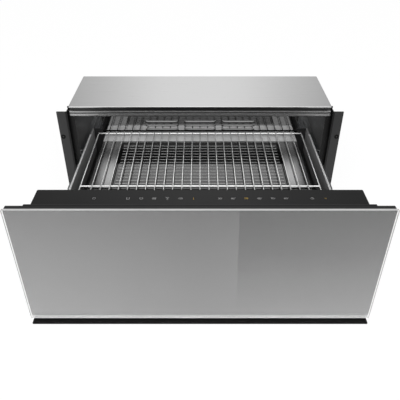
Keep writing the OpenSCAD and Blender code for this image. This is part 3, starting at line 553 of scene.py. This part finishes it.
# Painted shade: the groove between the rail's ridges is coloured near black, because no light
# reaches it.
groove = product(tree, zone(tree, "Z", rail_z + 8.6 * MM, rail_z + 8.75 * MM),
                 zone(tree, "Z", rail_z + 11.9 * MM, rail_z + 11.75 * MM))
tint(tree, shader, groove, UNLIT)

tree, shader = reopened(rack_chrome)
# Painted reflection: the rack turns near black for glossy rays only, so every mirror shows it dark.
tint(tree, shader, rays(tree)["Is Glossy Ray"], UNLIT)
for material, metallic in ((rail_steel, 0.78), (rim_steel, 0.66), (rack_chrome, 0.84)):
    reopened(material)[1].inputs["Metallic"].default_value = metallic

tree, shader = reopened(floor_steel)
# Painted highlight: the floor's strip next to the wall is pale, rougher and less metallic, for the
# light that falls there.
rear_highlight = zone(tree, "Y", 88.0 * MM, 92.0 * MM)
tint(tree, shader, rear_highlight, rgb(0.8))
shine = shader.inputs["Roughness"].links[0].from_socket
plug(tree, maths(tree, "ADD", shine, product(tree, rear_highlight, 0.22)), shader.inputs["Roughness"])
plug(tree, between(tree, rear_highlight, 1.0, 0.82), shader.inputs["Metallic"])

tree, shader = reopened(wall_steel)
# Painted shade: the louvres' hoods, in front of the wall's face, are coloured darker than the same
# steel.
tint(tree, shader, zone(tree, "Y", wall_y - 0.1 * MM, wall_y - 0.8 * MM), rgb(0.19))

tree, shader = reopened(front_steel)
# Painted light: a pale, non-metallic band, fading upwards, along the lower edge of the sheet behind
# the glass.
painted_lower_light = zone(tree, "Z", 23.0 * MM, 11.5 * MM)
tint(tree, shader, painted_lower_light, rgb(0.66))
plug(tree, between(tree, painted_lower_light, 1.0, 0.0), shader.inputs["Metallic"])
print("zones: groove, rear strip, hoods, border")

# %% [markdown]
# Most of the housing is black: powder-coated sheet with a fine peel, and moulded parts with
# the even grain of their mould. The control strip and the plate in the floor are black glass.

# %% Dark finishes
black_sheet = coated("black_sheet", rgb(0.022, 0.022, 0.0225), rgb(0.09), (0.3, 0.42), 1300.0)
black_inside = coated("black_inside", rgb(0.15, 0.15, 0.151), rgb(0.24), (0.34, 0.46), 1300.0)
flange_grey = coated("flange_grey", rgb(0.030, 0.030, 0.0305), rgb(0.09), (0.42, 0.55), 1300.0,
                     Specular_IOR_Level=0.35)
plug_rubber = coated("plug_rubber", rgb(0.035), rgb(0.06), (0.55, 0.7), 1500.0, 0.3,
                     Specular_IOR_Level=0.3)
motor_grey = coated("motor_grey", rgb(0.05), rgb(0.12), (0.35, 0.5), 1300.0)
black_plastic = coated("black_plastic", rgb(0.011, 0.011, 0.0113), rgb(0.035), (0.42, 0.55),
                       1900.0, 0.3, Specular_IOR_Level=0.2)
seal_black = coated("seal_black", rgb(0.006), rgb(0.012), (0.6, 0.75), 1500.0, 0.3,
                    Specular_IOR_Level=0.1)
light_plastic = coated("light_plastic", rgb(0.62, 0.62, 0.58), rgb(0.74), (0.4, 0.5), 1900.0, 0.2)
board_green = coated("board_green", rgb(0.015, 0.12, 0.05), rgb(0.3, 0.28, 0.15), (0.3, 0.4),
                     2500.0, 0.2)
rod_dark = coated("rod_dark", rgb(0.10, 0.085, 0.075), rgb(0.2), (0.4, 0.6), 1500.0, 0.3)
rib_print = coated("rib_print", rgb(0.34), rgb(0.40), (0.1, 0.15), 2400.0, 0.1, metallic=0.86)
wool = coated("wool", rgb(0.62, 0.58, 0.48), rgb(0.7), (0.85, 0.95), 420.0, 1.0)
control_black = filmed("control_black", rgb(0.015, 0.015, 0.0153), rgb(0.018), (0.16, 0.24), 5.0,
                       Specular_IOR_Level=0.09)
plate_black = filmed("plate_black", rgb(0.003), rgb(0.006), (0.03, 0.07), 7.0, IOR=1.55)
side_sheet = filmed("side_sheet", rgb(0.010), rgb(0.015), (0.34, 0.46), 9.0, 1300.0,
                    (0.15, 0.06 * MM), Specular_IOR_Level=0.2)
sign_grey = coated("sign_grey", rgb(0.6), rgb(0.66), (0.5, 0.6), 2000.0, Specular_IOR_Level=0.3)
sign_amber = coated("sign_amber", rgb(0.72, 0.46, 0.07), rgb(0.8, 0.55, 0.1), (0.5, 0.6), 2000.0,
                    Specular_IOR_Level=0.3)
print("dark finishes ready")

# %% [markdown]
# Two dark pieces change at a line as well: each flange is near black on its inner part, and
# the housing's sides are a lighter grey on their inner faces than on their front edges.

# %% Zones of dark finishes
tree, shader = reopened(flange_grey)
tint(tree, shader, zone(tree, "X", 349.8 * MM, 349.4 * MM, both_sides=True), rgb(0.004))
tree, shader = reopened(side_sheet)
inner_grey = mix_colours(tree, placed(tree, skin)["Cloud"], rgb(0.040), rgb(0.056))
tint(tree, shader, zone(tree, "X", 331.6 * MM, 331.1 * MM, both_sides=True), inner_grey)
print("zones: seal, inner faces")

# %% [markdown]
# The front is a clear pane over brushed steel. It is real glass here: it bends light, shows
# the steel behind it and mirrors the floor. Shadow rays pass it as if it were not there,
# because light that reaches the steel through refraction alone would be noisy. The pane's
# narrow edges are ground, so they scatter light and read as a pale frame.

# %% Clear glass
clear_glass = filmed("clear_glass", rgb(0.942), rgb(0.955), None, 2.5, IOR=1.5,
                     Transmission_Weight=1.0)
tree, shader = reopened(clear_glass)
open_way = made(tree, "ShaderNodeBsdfTransparent", {0: rgb(0.94)})
choice = made(tree, "ShaderNodeMixShader",
              {0: rays(tree)["Is Shadow Ray"], 1: shader.outputs[0], 2: open_way})
plug(tree, choice, tree.nodes["Material Output"].inputs[0])
ground_edge = filmed("ground_edge", rgb(0.50), rgb(0.585), (0.4, 0.55), 14.0, 3200.0,
                     (0.4, 0.05 * MM))
print("glass:", clear_glass.name, "with", ground_edge.name)

# %% [markdown]
# Nodes whose CAD shape is right keep it and only get a finish. The table names the finish of
# each; the pieces built further down replace the rest.


# %% Dress the CAD nodes
def both(*names):
    """The left and the right node of each name."""
    return [f"{name}_{side}" for name in names for side in ("left", "right")]


DRESS = {
    side_sheet: both("side_panel"),
    black_sheet: ["lower_front_panel", "drawer_base", "cover_spacer"],
    black_inside: both("drawer_side"),
    zinc_sheet: ["bottom_pan", "rear_panel", "fan_casing", "ceiling_panel", "reflector_tray",
                 *both("door_bracket")],
    floor_steel: ["drawer_floor"],
    slide_zinc: both("slide_outer", "slide_middle", "slide_inner"),
    screw_steel: ["housing_screws", "drawer_screws", "push_spring", *both("slide_balls")],
    flange_grey: both("mounting_flange"),
    motor_grey: ["fan_motor"],
    black_plastic: ["cable_gland", "power_module", "push_housing", "control_housing",
                    "cover_end_caps", "door_tray", "door_inner_panel"],
    seal_black: ["bottom_trim", "flange_bushings", "cavity_baffle"],
    light_plastic: ["terminal_block", "push_plunger", "fan_wheel"],
    board_green: ["control_board"],
    rib_print: ["plate_ribs"],
    rod_dark: ["heating_rod"],
    wool: ["insulation_pad"],
}
for material, names in DRESS.items():
    for name in names:
        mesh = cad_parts[name].data
        if not mesh.materials:
            mesh.materials.append(material)
        for i in range(len(mesh.materials)):
            mesh.materials[i] = material
bare_nodes = sorted(set(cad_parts) - {n for names in DRESS.values() for n in names})
print("dressed", sum(len(n) for n in DRESS.values()), "nodes; left bare:", bare_nodes)

# %% [markdown]
# The other pieces are built here. Each is one mesh at the world's origin, rides on the body
# that carries it, takes the finish that it is given and hides the CAD nodes that it stands for.


# %% Piece helpers
def add_piece(name, mesh, body, materials, slot, *replaced):
    """Links a finished mesh as a piece of a body, in place of some CAD nodes."""
    mesh.name = name
    mesh.materials.clear()
    for material in materials if isinstance(materials, tuple) else (materials,):
        mesh.materials.append(material)
    piece = new_object(name, mesh)
    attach(piece, body)
    if replaced:
        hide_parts(*replaced)
    print(f"{name}: {sum(len(f.vertices) - 2 for f in mesh.polygons)} triangles on {body}")


def to_mesh(shape):
    """A bmesh turned into a mesh."""
    mesh = bpy.data.meshes.new("mesh")
    shape.to_mesh(mesh)
    shape.free()
    return mesh


def joined(*meshes):
    """One mesh from several."""
    shape = bmesh.new()
    for mesh in meshes:
        shape.from_mesh(mesh)
    return to_mesh(shape)


def add_box(shape, centre, size, turn=Matrix()):
    """A box in a bmesh, turned about its centre."""
    bmesh.ops.create_cube(shape, size=1.0, matrix=Matrix.Translation(centre) @ turn
                          @ Matrix.Diagonal((*size, 1.0)))


def rounded_block(low, high, radius, segments=2, corner=0.0, corner_segments=6):
    """A block with rounded edges; corner rounds the four upright ones more."""
    shape = bmesh.new()
    size = Vector(high) - Vector(low)
    add_box(shape, Vector(low) + size / 2, size)
    if corner:
        upright = [e for e in shape.edges
                   if abs(e.verts[0].co.z - e.verts[1].co.z) > size.z * 0.5]
        bmesh.ops.bevel(shape, geom=upright, offset=corner, segments=corner_segments,
                        affect="EDGES", profile=0.5)
    sharp = [e for e in shape.edges if e.calc_face_angle(0.0) > math.radians(50)]
    bmesh.ops.bevel(shape, geom=sharp, offset=radius, segments=segments, affect="EDGES",
                    profile=0.5)
    return to_mesh(shape)


def lay_grain(mesh, along, across):
    """A UV map in metres; highlights stretch along its first axis."""
    layer = mesh.uv_layers.new(name="grain")
    for loop in mesh.loops:
        spot = mesh.vertices[loop.vertex_index].co
        layer.data[loop.index].uv = (spot[along], spot[across])
    return mesh


def arc(x, y, radius, start, end, steps, squeeze=1.0):
    """Points on an arc in degrees; squeeze flattens it along its second axis."""
    turns = [math.radians(start + (end - start) * i / steps) for i in range(steps + 1)]
    return [(x + radius * math.cos(t), y + radius * squeeze * math.sin(t)) for t in turns]


def drawn_out(outline, axis, start, end):
    """A closed outline in the other two axes, drawn out along X or Y, with closed ends."""
    shape = bmesh.new()
    ends = [[shape.verts.new((at, u, v) if axis == "X" else (u, at, v)) for u, v in outline]
            for at in (start, end)]
    for i in range(len(outline)):
        j = (i + 1) % len(outline)
        shape.faces.new((ends[0][i], ends[0][j], ends[1][j], ends[1][i]))
    shape.faces.new(ends[0])
    shape.faces.new(ends[1][::-1])
    bmesh.ops.recalc_face_normals(shape, faces=shape.faces)
    return to_mesh(shape)


print("piece helpers ready")

# %% [markdown]
# The front of the drawer is a pane of clear glass over a brushed steel sheet. The pane stands
# a hair in front of the sheet, so light can pass between them, and its ground edges are
# bevelled. The sheet's grain runs from side to side, so highlights spread up and down. A narrow
# pale strip lies below the sheet, behind the lowest part of the pane.

# %% Glass front
low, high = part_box("door_glass")
sheet_low, sheet_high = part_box("door_backing")
air = 0.1 * MM
pane = rounded_block(low, (high.x, sheet_low.y - air, high.z), 0.6 * MM)
add_piece("front_pane", pane, "drawer", (clear_glass, ground_edge), "front_glass", "door_glass")
for face in pane.polygons:
    face.material_index = 0 if abs(face.normal.y) > 0.9 else 1
sheet = rounded_block(sheet_low, sheet_high, 0.25 * MM)
add_piece("front_sheet", lay_grain(sheet, 2, 0), "drawer", front_steel, "front_steel",
          "door_backing")
strip = rounded_block((low.x + 2 * MM, sheet_low.y, low.z + 0.4 * MM),
                      (high.x - 2 * MM, sheet_high.y, sheet_low.z - air), 0.15 * MM, 1)
add_piece("edge_strip", strip, "drawer", ground_edge, "front_steel")
print("sheet's lower edge above the pane's, in mm:", round((sheet_low.z - low.z) / MM, 2))

# %% [markdown]
# The cover over the housing is a brushed steel sheet whose edges are folded down. The fold is
# a small radius that catches a line of light along the front.

# %% Top cover
low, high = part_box("top_cover")
cover = rounded_block(low, high, 2.1 * MM, 5)
for face in cover.polygons:
    face.use_smooth = face.area < 0.0005
add_piece("cover_sheet", lay_grain(cover, 1, 0), "housing", cover_steel, "cover_steel",
          "top_cover")

# %% [markdown]
# A pressed rail closes the housing over the opening. Seen from the front it is two long ridges
# with a groove between them. Its section is drawn once, as a closed line, and drawn out along X.

# %% Pressed rail
low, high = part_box("front_cross_rail")
rail_depth = 2.8 * MM
ridges = [(2.4, 0.0), (0.8, 2.2), (0.2, 2.8), (0.0, 3.4), (0.0, 7.9), (0.2, 8.4), (0.7, 8.7),
          (2.3, 8.8), (2.3, 11.7), (0.3, 11.7), (0.0, 12.0), (0.0, 15.0), (0.2, 15.5), (0.6, 15.8)]
section = [(rail_depth, 0.0), *((y * MM, z * MM) for y, z in ridges), (rail_depth, 15.8 * MM)]
rail = drawn_out([(low.y + y, low.z + z) for y, z in section], "X", low.x, high.x)
fold_x = 330.5 * MM
folds = [rounded_block((-fold_x, low.y + rail_depth - 0.3 * MM, z), (fold_x, high.y, z + 1.2 * MM),
                       0.2 * MM, 1) for z in (low.z, high.z - 1.3 * MM)]
add_piece("pressed_rail", joined(rail, *folds), "housing", rail_steel, "rail_steel",
          "front_cross_rail")

# %% [markdown]
# A rubber plug closes each screw hole in the flanges until the drawer is fitted. It is a turned
# form: one line of radius and depth, spun round the hole's axis.


# %% Hole plugs
def turned_along_y(line, centre, steps=28):
    """A closed (radius, Y) line turned round an axis along Y through the centre."""
    shape = bmesh.new()
    points = [shape.verts.new((r, y, 0)) for r, y in line]
    loop = [shape.edges.new(pair) for pair in zip(points, points[1:])]
    bmesh.ops.spin(shape, geom=points + loop, cent=(0, 0, 0), axis=(0, 1, 0),
                   angle=2 * math.pi, steps=steps, use_merge=True)
    bmesh.ops.remove_doubles(shape, verts=shape.verts, dist=1e-6)
    bmesh.ops.recalc_face_normals(shape, faces=shape.faces)
    bmesh.ops.translate(shape, vec=centre, verts=shape.verts)
    mesh = to_mesh(shape)
    for face in mesh.polygons:
        face.use_smooth = True
    return mesh


low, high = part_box("flange_bushings")
bush_radius = 5.8 * MM
plug_x = high.x - bush_radius
plug_line = [(0.0, -1.3), (1.5, -1.3), (1.9, -1.0), (2.0, -0.2), (2.6, 0.0), (2.6, 2.2), (0.0, 2.2)]
plugs = [turned_along_y([(r * MM, y * MM) for r, y in plug_line], (x, 0.0, z))
         for x in (-plug_x, plug_x) for z in (low.z + bush_radius, high.z - bush_radius)]
add_piece("hole_plugs", joined(*plugs), "housing", plug_rubber, "black_plastic")

# %% [markdown]
# The top of each drawer side ends in a steel strip with two rounded beads. A round bead has a
# face in every direction, so one of them always mirrors the light: this draws the bright
# double line along both sides.


# %% Side rims
BEAD_SHARE, VALLEY_SHARE = 0.21, 0.4  # of the strip's width and height


def rim_outline(x0, x1, z0, z1):
    """Two half-round beads on a flat base, as a closed (X, Z) outline."""
    radius = (x1 - x0) * BEAD_SHARE
    left, right, valley = x0 + radius, x1 - radius, z0 + (z1 - z0) * VALLEY_SHARE
    beads = [arc(x, z1 - radius, radius, 180, 0, 8) for x in (left, right)]
    return [(x0, z0), *beads[0], (left + radius, valley), (right - radius, valley), *beads[1],
            (x1, z0)]


low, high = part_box("side_rims")
rim_width = 4.2 * MM
rims = [drawn_out(rim_outline(x, x + rim_width, low.z, high.z), "Y", low.y, high.y)
        for x in (low.x, high.x - rim_width)]
add_piece("rim_beads", joined(*rims), "drawer", rim_steel, "slide_zinc", "side_rims")

# %% [markdown]
# Geometry Nodes make what repeats. A tree gets named inputs for its sizes, a modifier on an
# empty mesh sets them by their identifiers, and the evaluated result is kept as a plain mesh.
# The tree itself ends in Realize Instances and Set Material, so nothing is lost on the way.


# %% Geometry tree helpers
def repeated(group, result, shape, count, step, start, material):
    """Ends a tree: a row of the shape, made real, with its material."""
    spots = made(group, "GeometryNodeMeshLine", {
        "Count": count, "Offset": step, "Start Location": start}, mode="OFFSET")
    copies = made(group, "GeometryNodeInstanceOnPoints", {"Points": spots, "Instance": shape})
    real = made(group, "GeometryNodeRealizeInstances", {"Geometry": copies})
    plug(group, made(group, "GeometryNodeSetMaterial", {"Geometry": real, "Material": material}),
         result["Mesh"])


def grown(group, **values):
    """The plain mesh that a geometry tree makes from these input values."""
    seed = new_object(group.name, bpy.data.meshes.new(group.name))
    modifier = seed.modifiers.new("grow", "NODES")
    modifier.node_group = group
    sockets = {i.name: i.identifier for i in group.interface.items_tree if i.in_out == "INPUT"}
    for key, value in values.items():
        modifier[sockets[key.replace("_", " ")]] = value
    bpy.context.view_layer.update()
    evaluated = seed.evaluated_get(bpy.context.evaluated_depsgraph_get())
    mesh = bpy.data.meshes.new_from_object(evaluated)
    bpy.data.objects.remove(seed)
    return mesh


print("geometry tree helpers ready")

# %% [markdown]
# The rack is welded from straight plated wires: two side wires, three cross bars, and a row
# of long wires on top of them. One tree makes every row: it sweeps a circle along a straight
# run and repeats it by a step. Only the long sides are smooth; the cut ends stay flat.

# %% Wire rack
rod_row, given, result = new_group("rod_row", "GeometryNodeTree", [
    ("Count", "Int"), ("Step", "Vector"), ("Centre", "Vector"), ("Half Run", "Vector"),
    ("Diameter", "Float"), ("Sides", "Int"), ("Material", "Material")], [("Mesh", "Geometry")])
half_span = product(rod_row, maths(rod_row, "SUBTRACT", given["Count"], 1.0), 0.5)
half_row = vector_maths(rod_row, "MULTIPLY", given["Step"], half_span)
first = vector_maths(rod_row, "SUBTRACT", given["Centre"], half_row)
back = vector_maths(rod_row, "MULTIPLY", given["Half Run"], (-1.0, -1.0, -1.0))
run = made(rod_row, "GeometryNodeCurvePrimitiveLine", {"Start": back, "End": given["Half Run"]})
ring = made(rod_row, "GeometryNodeCurvePrimitiveCircle", {
    "Resolution": given["Sides"], "Radius": product(rod_row, given["Diameter"], 0.5)},
    mode="RADIUS")
rod = made(rod_row, "GeometryNodeCurveToMesh", {
    "Curve": run, "Profile Curve": ring, "Fill Caps": True})
corners = made(rod_row, "GeometryNodeInputMeshFaceNeighbors")
smooth = made(rod_row, "GeometryNodeSetShadeSmooth", {
    "Geometry": rod, "Selection": maths(rod_row, "LESS_THAN", corners, 5.0),
    "Shade Smooth": True})
repeated(rod_row, result, smooth, given["Count"], given["Step"], first, given["Material"])


def rods(count, step, centre, half_run, diameter, sides=16):
    """A row of the rack's rods."""
    return grown(rod_row, Count=count, Step=step, Centre=centre, Half_Run=half_run,
                 Diameter=diameter, Sides=sides, Material=rack_chrome)


low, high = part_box("wire_rack")
bar_diameter, wire_diameter, side_diameter, foot_diameter = 5.0 * MM, 2.5 * MM, 4.0 * MM, 3.0 * MM
wire_count, wire_step = 25, 22.4 * MM
overhang, bar_gap, foot_x = 5.0 * MM, 280.8 * MM, 267.6 * MM
weld = 0.4 * MM  # how far two welded wires sink into each other
wire_z = high.z - wire_diameter / 2
bar_z = wire_z - (bar_diameter + wire_diameter) / 2 + weld
bars_y = (high.y - overhang, high.y - overhang - bar_gap, low.y + overhang)
side_x = high.x - side_diameter / 2
rack = [rods(wire_count, (wire_step, 0, 0), (0, (low.y + high.y) / 2, wire_z),
             (0, (high.y - low.y) / 2, 0), wire_diameter, 14),
        rods(2, (2 * side_x, 0, 0), (0, (bars_y[0] + bars_y[2]) / 2, bar_z),
             (0, (bars_y[0] - bars_y[2]) / 2 + bar_diameter, 0), side_diameter)]
for y in bars_y:
    rack.append(rods(1, (0, 0, 0), (0, y, bar_z), (side_x, 0, 0), bar_diameter))
    rack.append(rods(2, (2 * foot_x, 0, 0), (0, y, (low.z + bar_z) / 2),
                     (0, 0, (bar_z - low.z) / 2), foot_diameter, 12))
add_piece("wire_shelf", joined(*rack), "drawer", rack_chrome, "rack_chrome", "wire_rack")

# %% [markdown]
# Warm air comes out of louvres in the wall behind the rack. Each louvre is a hood pressed out
# of the sheet over its slot: closed at the top and the ends, open below. The tree bends a
# small grid into that form and repeats it in rows.

# %% Louvred wall
hoods, given, result = new_group("louvre_hoods", "GeometryNodeTree", [
    ("Rows", "Int"), ("Row Step", "Float"), ("First", "Vector"), ("Width", "Float"),
    ("Height", "Float"), ("Depth", "Float"), ("Material", "Material")], [("Mesh", "Geometry")])
patch = made(hoods, "GeometryNodeMeshGrid", {
    "Size X": given["Width"], "Size Y": given["Height"], "Vertices X": 61, "Vertices Y": 9})
spot = split(hoods, made(hoods, "GeometryNodeInputPosition"))
sideways = maths(hoods, "ABSOLUTE",
                 maths(hoods, "DIVIDE", spot["X"], product(hoods, given["Width"], 0.5)))
ends_fall = maths(hoods, "SUBTRACT", 1.0, maths(hoods, "POWER", sideways, 14.0))
upwards = maths(hoods, "ADD", maths(hoods, "DIVIDE", spot["Y"], given["Height"]), 0.5)
top_fall = maths(hoods, "COSINE", product(hoods, upwards, math.pi / 2))
forward = product(hoods, ends_fall, top_fall, given["Depth"], -1.0)
pressed = made(hoods, "ShaderNodeCombineXYZ", {"X": spot["X"], "Y": forward, "Z": spot["Y"]})
bent = made(hoods, "GeometryNodeSetPosition", {"Geometry": patch, "Position": pressed})
smooth = made(hoods, "GeometryNodeSetShadeSmooth", {"Geometry": bent})
upward = made(hoods, "ShaderNodeCombineXYZ", {"Z": given["Row Step"]})
repeated(hoods, result, smooth, given["Rows"], upward, given["First"], given["Material"])


def pierced_sheet(x0, x1, z0, z1, y, thick, holes):
    """An upright sheet at y with rectangular holes (x0, x1, z0, z1), thickened rearwards."""
    xs = sorted({x0, x1, *(v for h in holes for v in h[:2])})
    zs = sorted({z0, z1, *(v for h in holes for v in h[2:])})
    shape = bmesh.new()
    corners = {(x, z): shape.verts.new((x, y, z)) for x in xs for z in zs}
    for xa, xb in zip(xs, xs[1:]):
        for za, zb in zip(zs, zs[1:]):
            mid_x, mid_z = (xa + xb) / 2, (za + zb) / 2
            if not any(h[0] < mid_x < h[1] and h[2] < mid_z < h[3] for h in holes):
                shape.faces.new([corners[k] for k in ((xa, za), (xb, za), (xb, zb), (xa, zb))])
    bmesh.ops.delete(shape, geom=[v for v in shape.verts if not v.link_faces], context="VERTS")
    bmesh.ops.solidify(shape, geom=shape.faces[:], thickness=thick)
    bmesh.ops.recalc_face_normals(shape, faces=shape.faces)
    return to_mesh(shape)


low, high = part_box("rear_wall")
floor_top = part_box("drawer_floor")[1].z
row_count, row_step, first_row, slot_height = 3, 12.5 * MM, 11.0 * MM, 4.0 * MM
row_z = [floor_top + first_row + row_step * i for i in range(row_count)]
hood_height, hood_depth, hood_thick, wall_thick = 4.4 * MM, 2.4 * MM, 0.7 * MM, 1.2 * MM
louvre_groups = [(-112.0 * MM, 96.0 * MM), (0.0, 92.0 * MM), (112.0 * MM, 96.0 * MM)]
holes = [(x - w / 2 + MM, x + w / 2 - MM, z, z + slot_height)
         for x, w in louvre_groups for z in row_z]
wall = [pierced_sheet(low.x, high.x, low.z, high.z, wall_y, wall_thick, holes)]
for x, width in louvre_groups:
    hood = grown(hoods, Rows=row_count, Row_Step=row_step, Width=width, Height=hood_height,
                 First=(x, wall_y + 0.1 * MM, row_z[0] + 2.5 * MM), Depth=hood_depth,
                 Material=wall_steel)
    shape = bmesh.new()
    shape.from_mesh(hood)
    bmesh.ops.recalc_face_normals(shape, faces=shape.faces)
    bmesh.ops.solidify(shape, geom=shape.faces[:], thickness=hood_thick)
    wall.append(to_mesh(shape))
print("wall measures", [round(v.y / MM, 2) for v in (low, high)], "at", round(wall_y / MM, 2))
add_piece("louvred_wall", lay_grain(joined(*wall), 2, 0), "drawer", wall_steel, "inner_steel",
          "rear_wall")

# %% [markdown]
# A plate of black glass lies in the drawer's floor, over the heater, and another strip of it
# carries the touch keys on top of the front. Both have polished, bevelled edges.

# %% Black glass
low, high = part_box("glass_plate")
plate = rounded_block(low, high, 0.7 * MM, 2, 14.0 * MM, 8)
add_piece("floor_glass", plate, "drawer", plate_black, "plate_black", "glass_plate")
low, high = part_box("control_glass")
strip = rounded_block(low, high, 0.6 * MM, 2, 2.4 * MM, 5)
add_piece("touch_strip", strip, "drawer", control_black, "control_black", "control_glass")

# %% [markdown]
# The touch keys are printed on the strip: signs for the kinds of use and numbers for the
# temperatures. Each sign is a few pen lines, and each line becomes thin raised bars, a twentieth
# of a millimetre high, so it stays a clean closed mesh from any side.

# %% Touch signs
DIGITS = {
    "0": [[(0.7, 0), (0, 0.8), (0, 3.8), (0.7, 4.6), (1.9, 4.6), (2.6, 3.8), (2.6, 0.8), (1.9, 0),
           (0.7, 0)]],
    "3": [[(0.1, 4.6), (1.9, 4.6), (2.6, 3.9), (2.6, 3.0), (1.9, 2.4), (1.0, 2.4)],
          [(1.9, 2.4), (2.6, 1.7), (2.6, 0.7), (1.9, 0), (0.1, 0)]],
    "4": [[(1.9, 0), (1.9, 4.6), (0, 1.4), (2.8, 1.4)]],
    "5": [[(2.5, 4.6), (0.2, 4.6), (0.1, 2.6), (1.8, 2.6), (2.6, 1.9), (2.6, 0.7), (1.9, 0),
           (0.1, 0)]],
    "6": [[(2.2, 4.6), (1.0, 4.6), (0, 3.4), (0, 0.7), (0.7, 0), (1.9, 0), (2.6, 0.7), (2.6, 1.9),
           (1.9, 2.6), (0.1, 2.6)]],
    "7": [[(0, 4.6), (2.6, 4.6), (0.9, 0)]],
    "8": [[(0.7, 2.4), (0.1, 3.1), (0.1, 3.9), (0.8, 4.6), (1.8, 4.6), (2.5, 3.9), (2.5, 3.1),
           (1.9, 2.4), (2.6, 1.7), (2.6, 0.7), (1.9, 0), (0.7, 0), (0, 0.7), (0, 1.7), (0.7, 2.4),
           (1.9, 2.4)]],
}


def degrees_sign(text):
    """The pen lines of a number with a degree ring, centred on the key."""
    left, pitch, foot = -4.4, 3.7, -2.3
    lines = [[(x + left + pitch * place, y + foot) for x, y in line]
             for place, digit in enumerate(text) for line in DIGITS[digit]]
    return lines + [arc(3.8, 1.8, 0.55, 0, 360, 8)]


GREY_SIGNS = [
    (-206.6, [arc(0, 0, 3.0, 122, 418, 18), [(0, 0.8), (0, 3.8)]]),
    (-140.1, [[(-1.2, 2.8), (-2.8, 2.8), (-2.4, -2.8), (2.4, -2.8), (2.8, 2.8), (1.2, 2.8)]]),
    (-114.3, [[(-3.2, 2.4), *arc(-1.2, -0.4, 2.0, 180, 270, 4), *arc(0.2, -0.4, 2.0, 270, 360, 4),
               (2.2, 2.4), (-3.2, 2.4)], arc(2.2, 0.8, 1.3, 90, -90, 6)]),
    (-89.2, [[(x - 1.4, y), (x + 1.4, y)] for x in (-2.0, 2.0) for y in (-2.4, -0.8, 0.8, 2.4)]),
    (-63.5, [[(-3.0, 2.8), (0, -0.4), (3.0, 2.8), (-3.0, 2.8)], [(0, -0.4), (0, -2.8)],
             [(-1.7, -2.8), (1.7, -2.8)]]),
    (-37.9, [arc(0, 0, 4.0, 0, 360, 20, 0.62), arc(0, 0, 1.3, 0, 360, 10)]),
    (218.6, [arc(0, 0, 3.0, 0, 360, 18), [(0, 1.8), (0, 0), (1.3, 0)]]),
] + [(x, degrees_sign(text)) for x, text in ((39.6, "30"), (65.1, "40"), (116.6, "60"),
                                             (142.4, "70"), (168.1, "80"))]
AMBER_SIGNS = [(-12.4, [[(0, -2.0), (0, 3.2)], arc(0, -2.6, 0.7, 0, 360, 8)]),
               (91.1, degrees_sign("50")),
               (244.7, [arc(0, -1.2, 2.6, 40, 140, 6), arc(0, -1.2, 0.5, 0, 360, 6)])]
PEN, PEN_OVERLAP, PRINT_HEIGHT = 0.5 * MM, 0.35 * MM, 0.05 * MM
KEYS_Y = -5.2 * MM  # from the strip's middle


def printed(signs, centre_y, z):
    """Thin closed bars along every pen line of the signs."""
    shape = bmesh.new()
    for centre_x, lines in signs:
        for line in lines:
            for (xa, ya), (xb, yb) in zip(line, line[1:]):
                start = Vector((centre_x + xa, ya, 0)) * MM + Vector((0, centre_y, z))
                along = Vector((xb - xa, yb - ya, 0)) * MM
                centre = start + along / 2 + Vector((0, 0, PRINT_HEIGHT / 2))
                turn = along.normalized().to_track_quat("X", "Z").to_matrix().to_4x4()
                add_box(shape, centre, (along.length + PEN_OVERLAP, PEN, PRINT_HEIGHT), turn)
    return to_mesh(shape)


low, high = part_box("control_glass")
signs_y = (low.y + high.y) / 2 + KEYS_Y
add_piece("grey_signs", printed(GREY_SIGNS, signs_y, high.z), "drawer", sign_grey, "control_black")
add_piece("amber_signs", printed(AMBER_SIGNS, signs_y, high.z), "drawer", sign_amber,
          "control_black")

# %% [markdown]
# The box of the dressed model is measured and printed, leaving out hidden parts and the floor.

# %% Finish
low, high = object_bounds()
print("visual box in mm:", [round(v / MM, 1) for v in (*low, *high)])
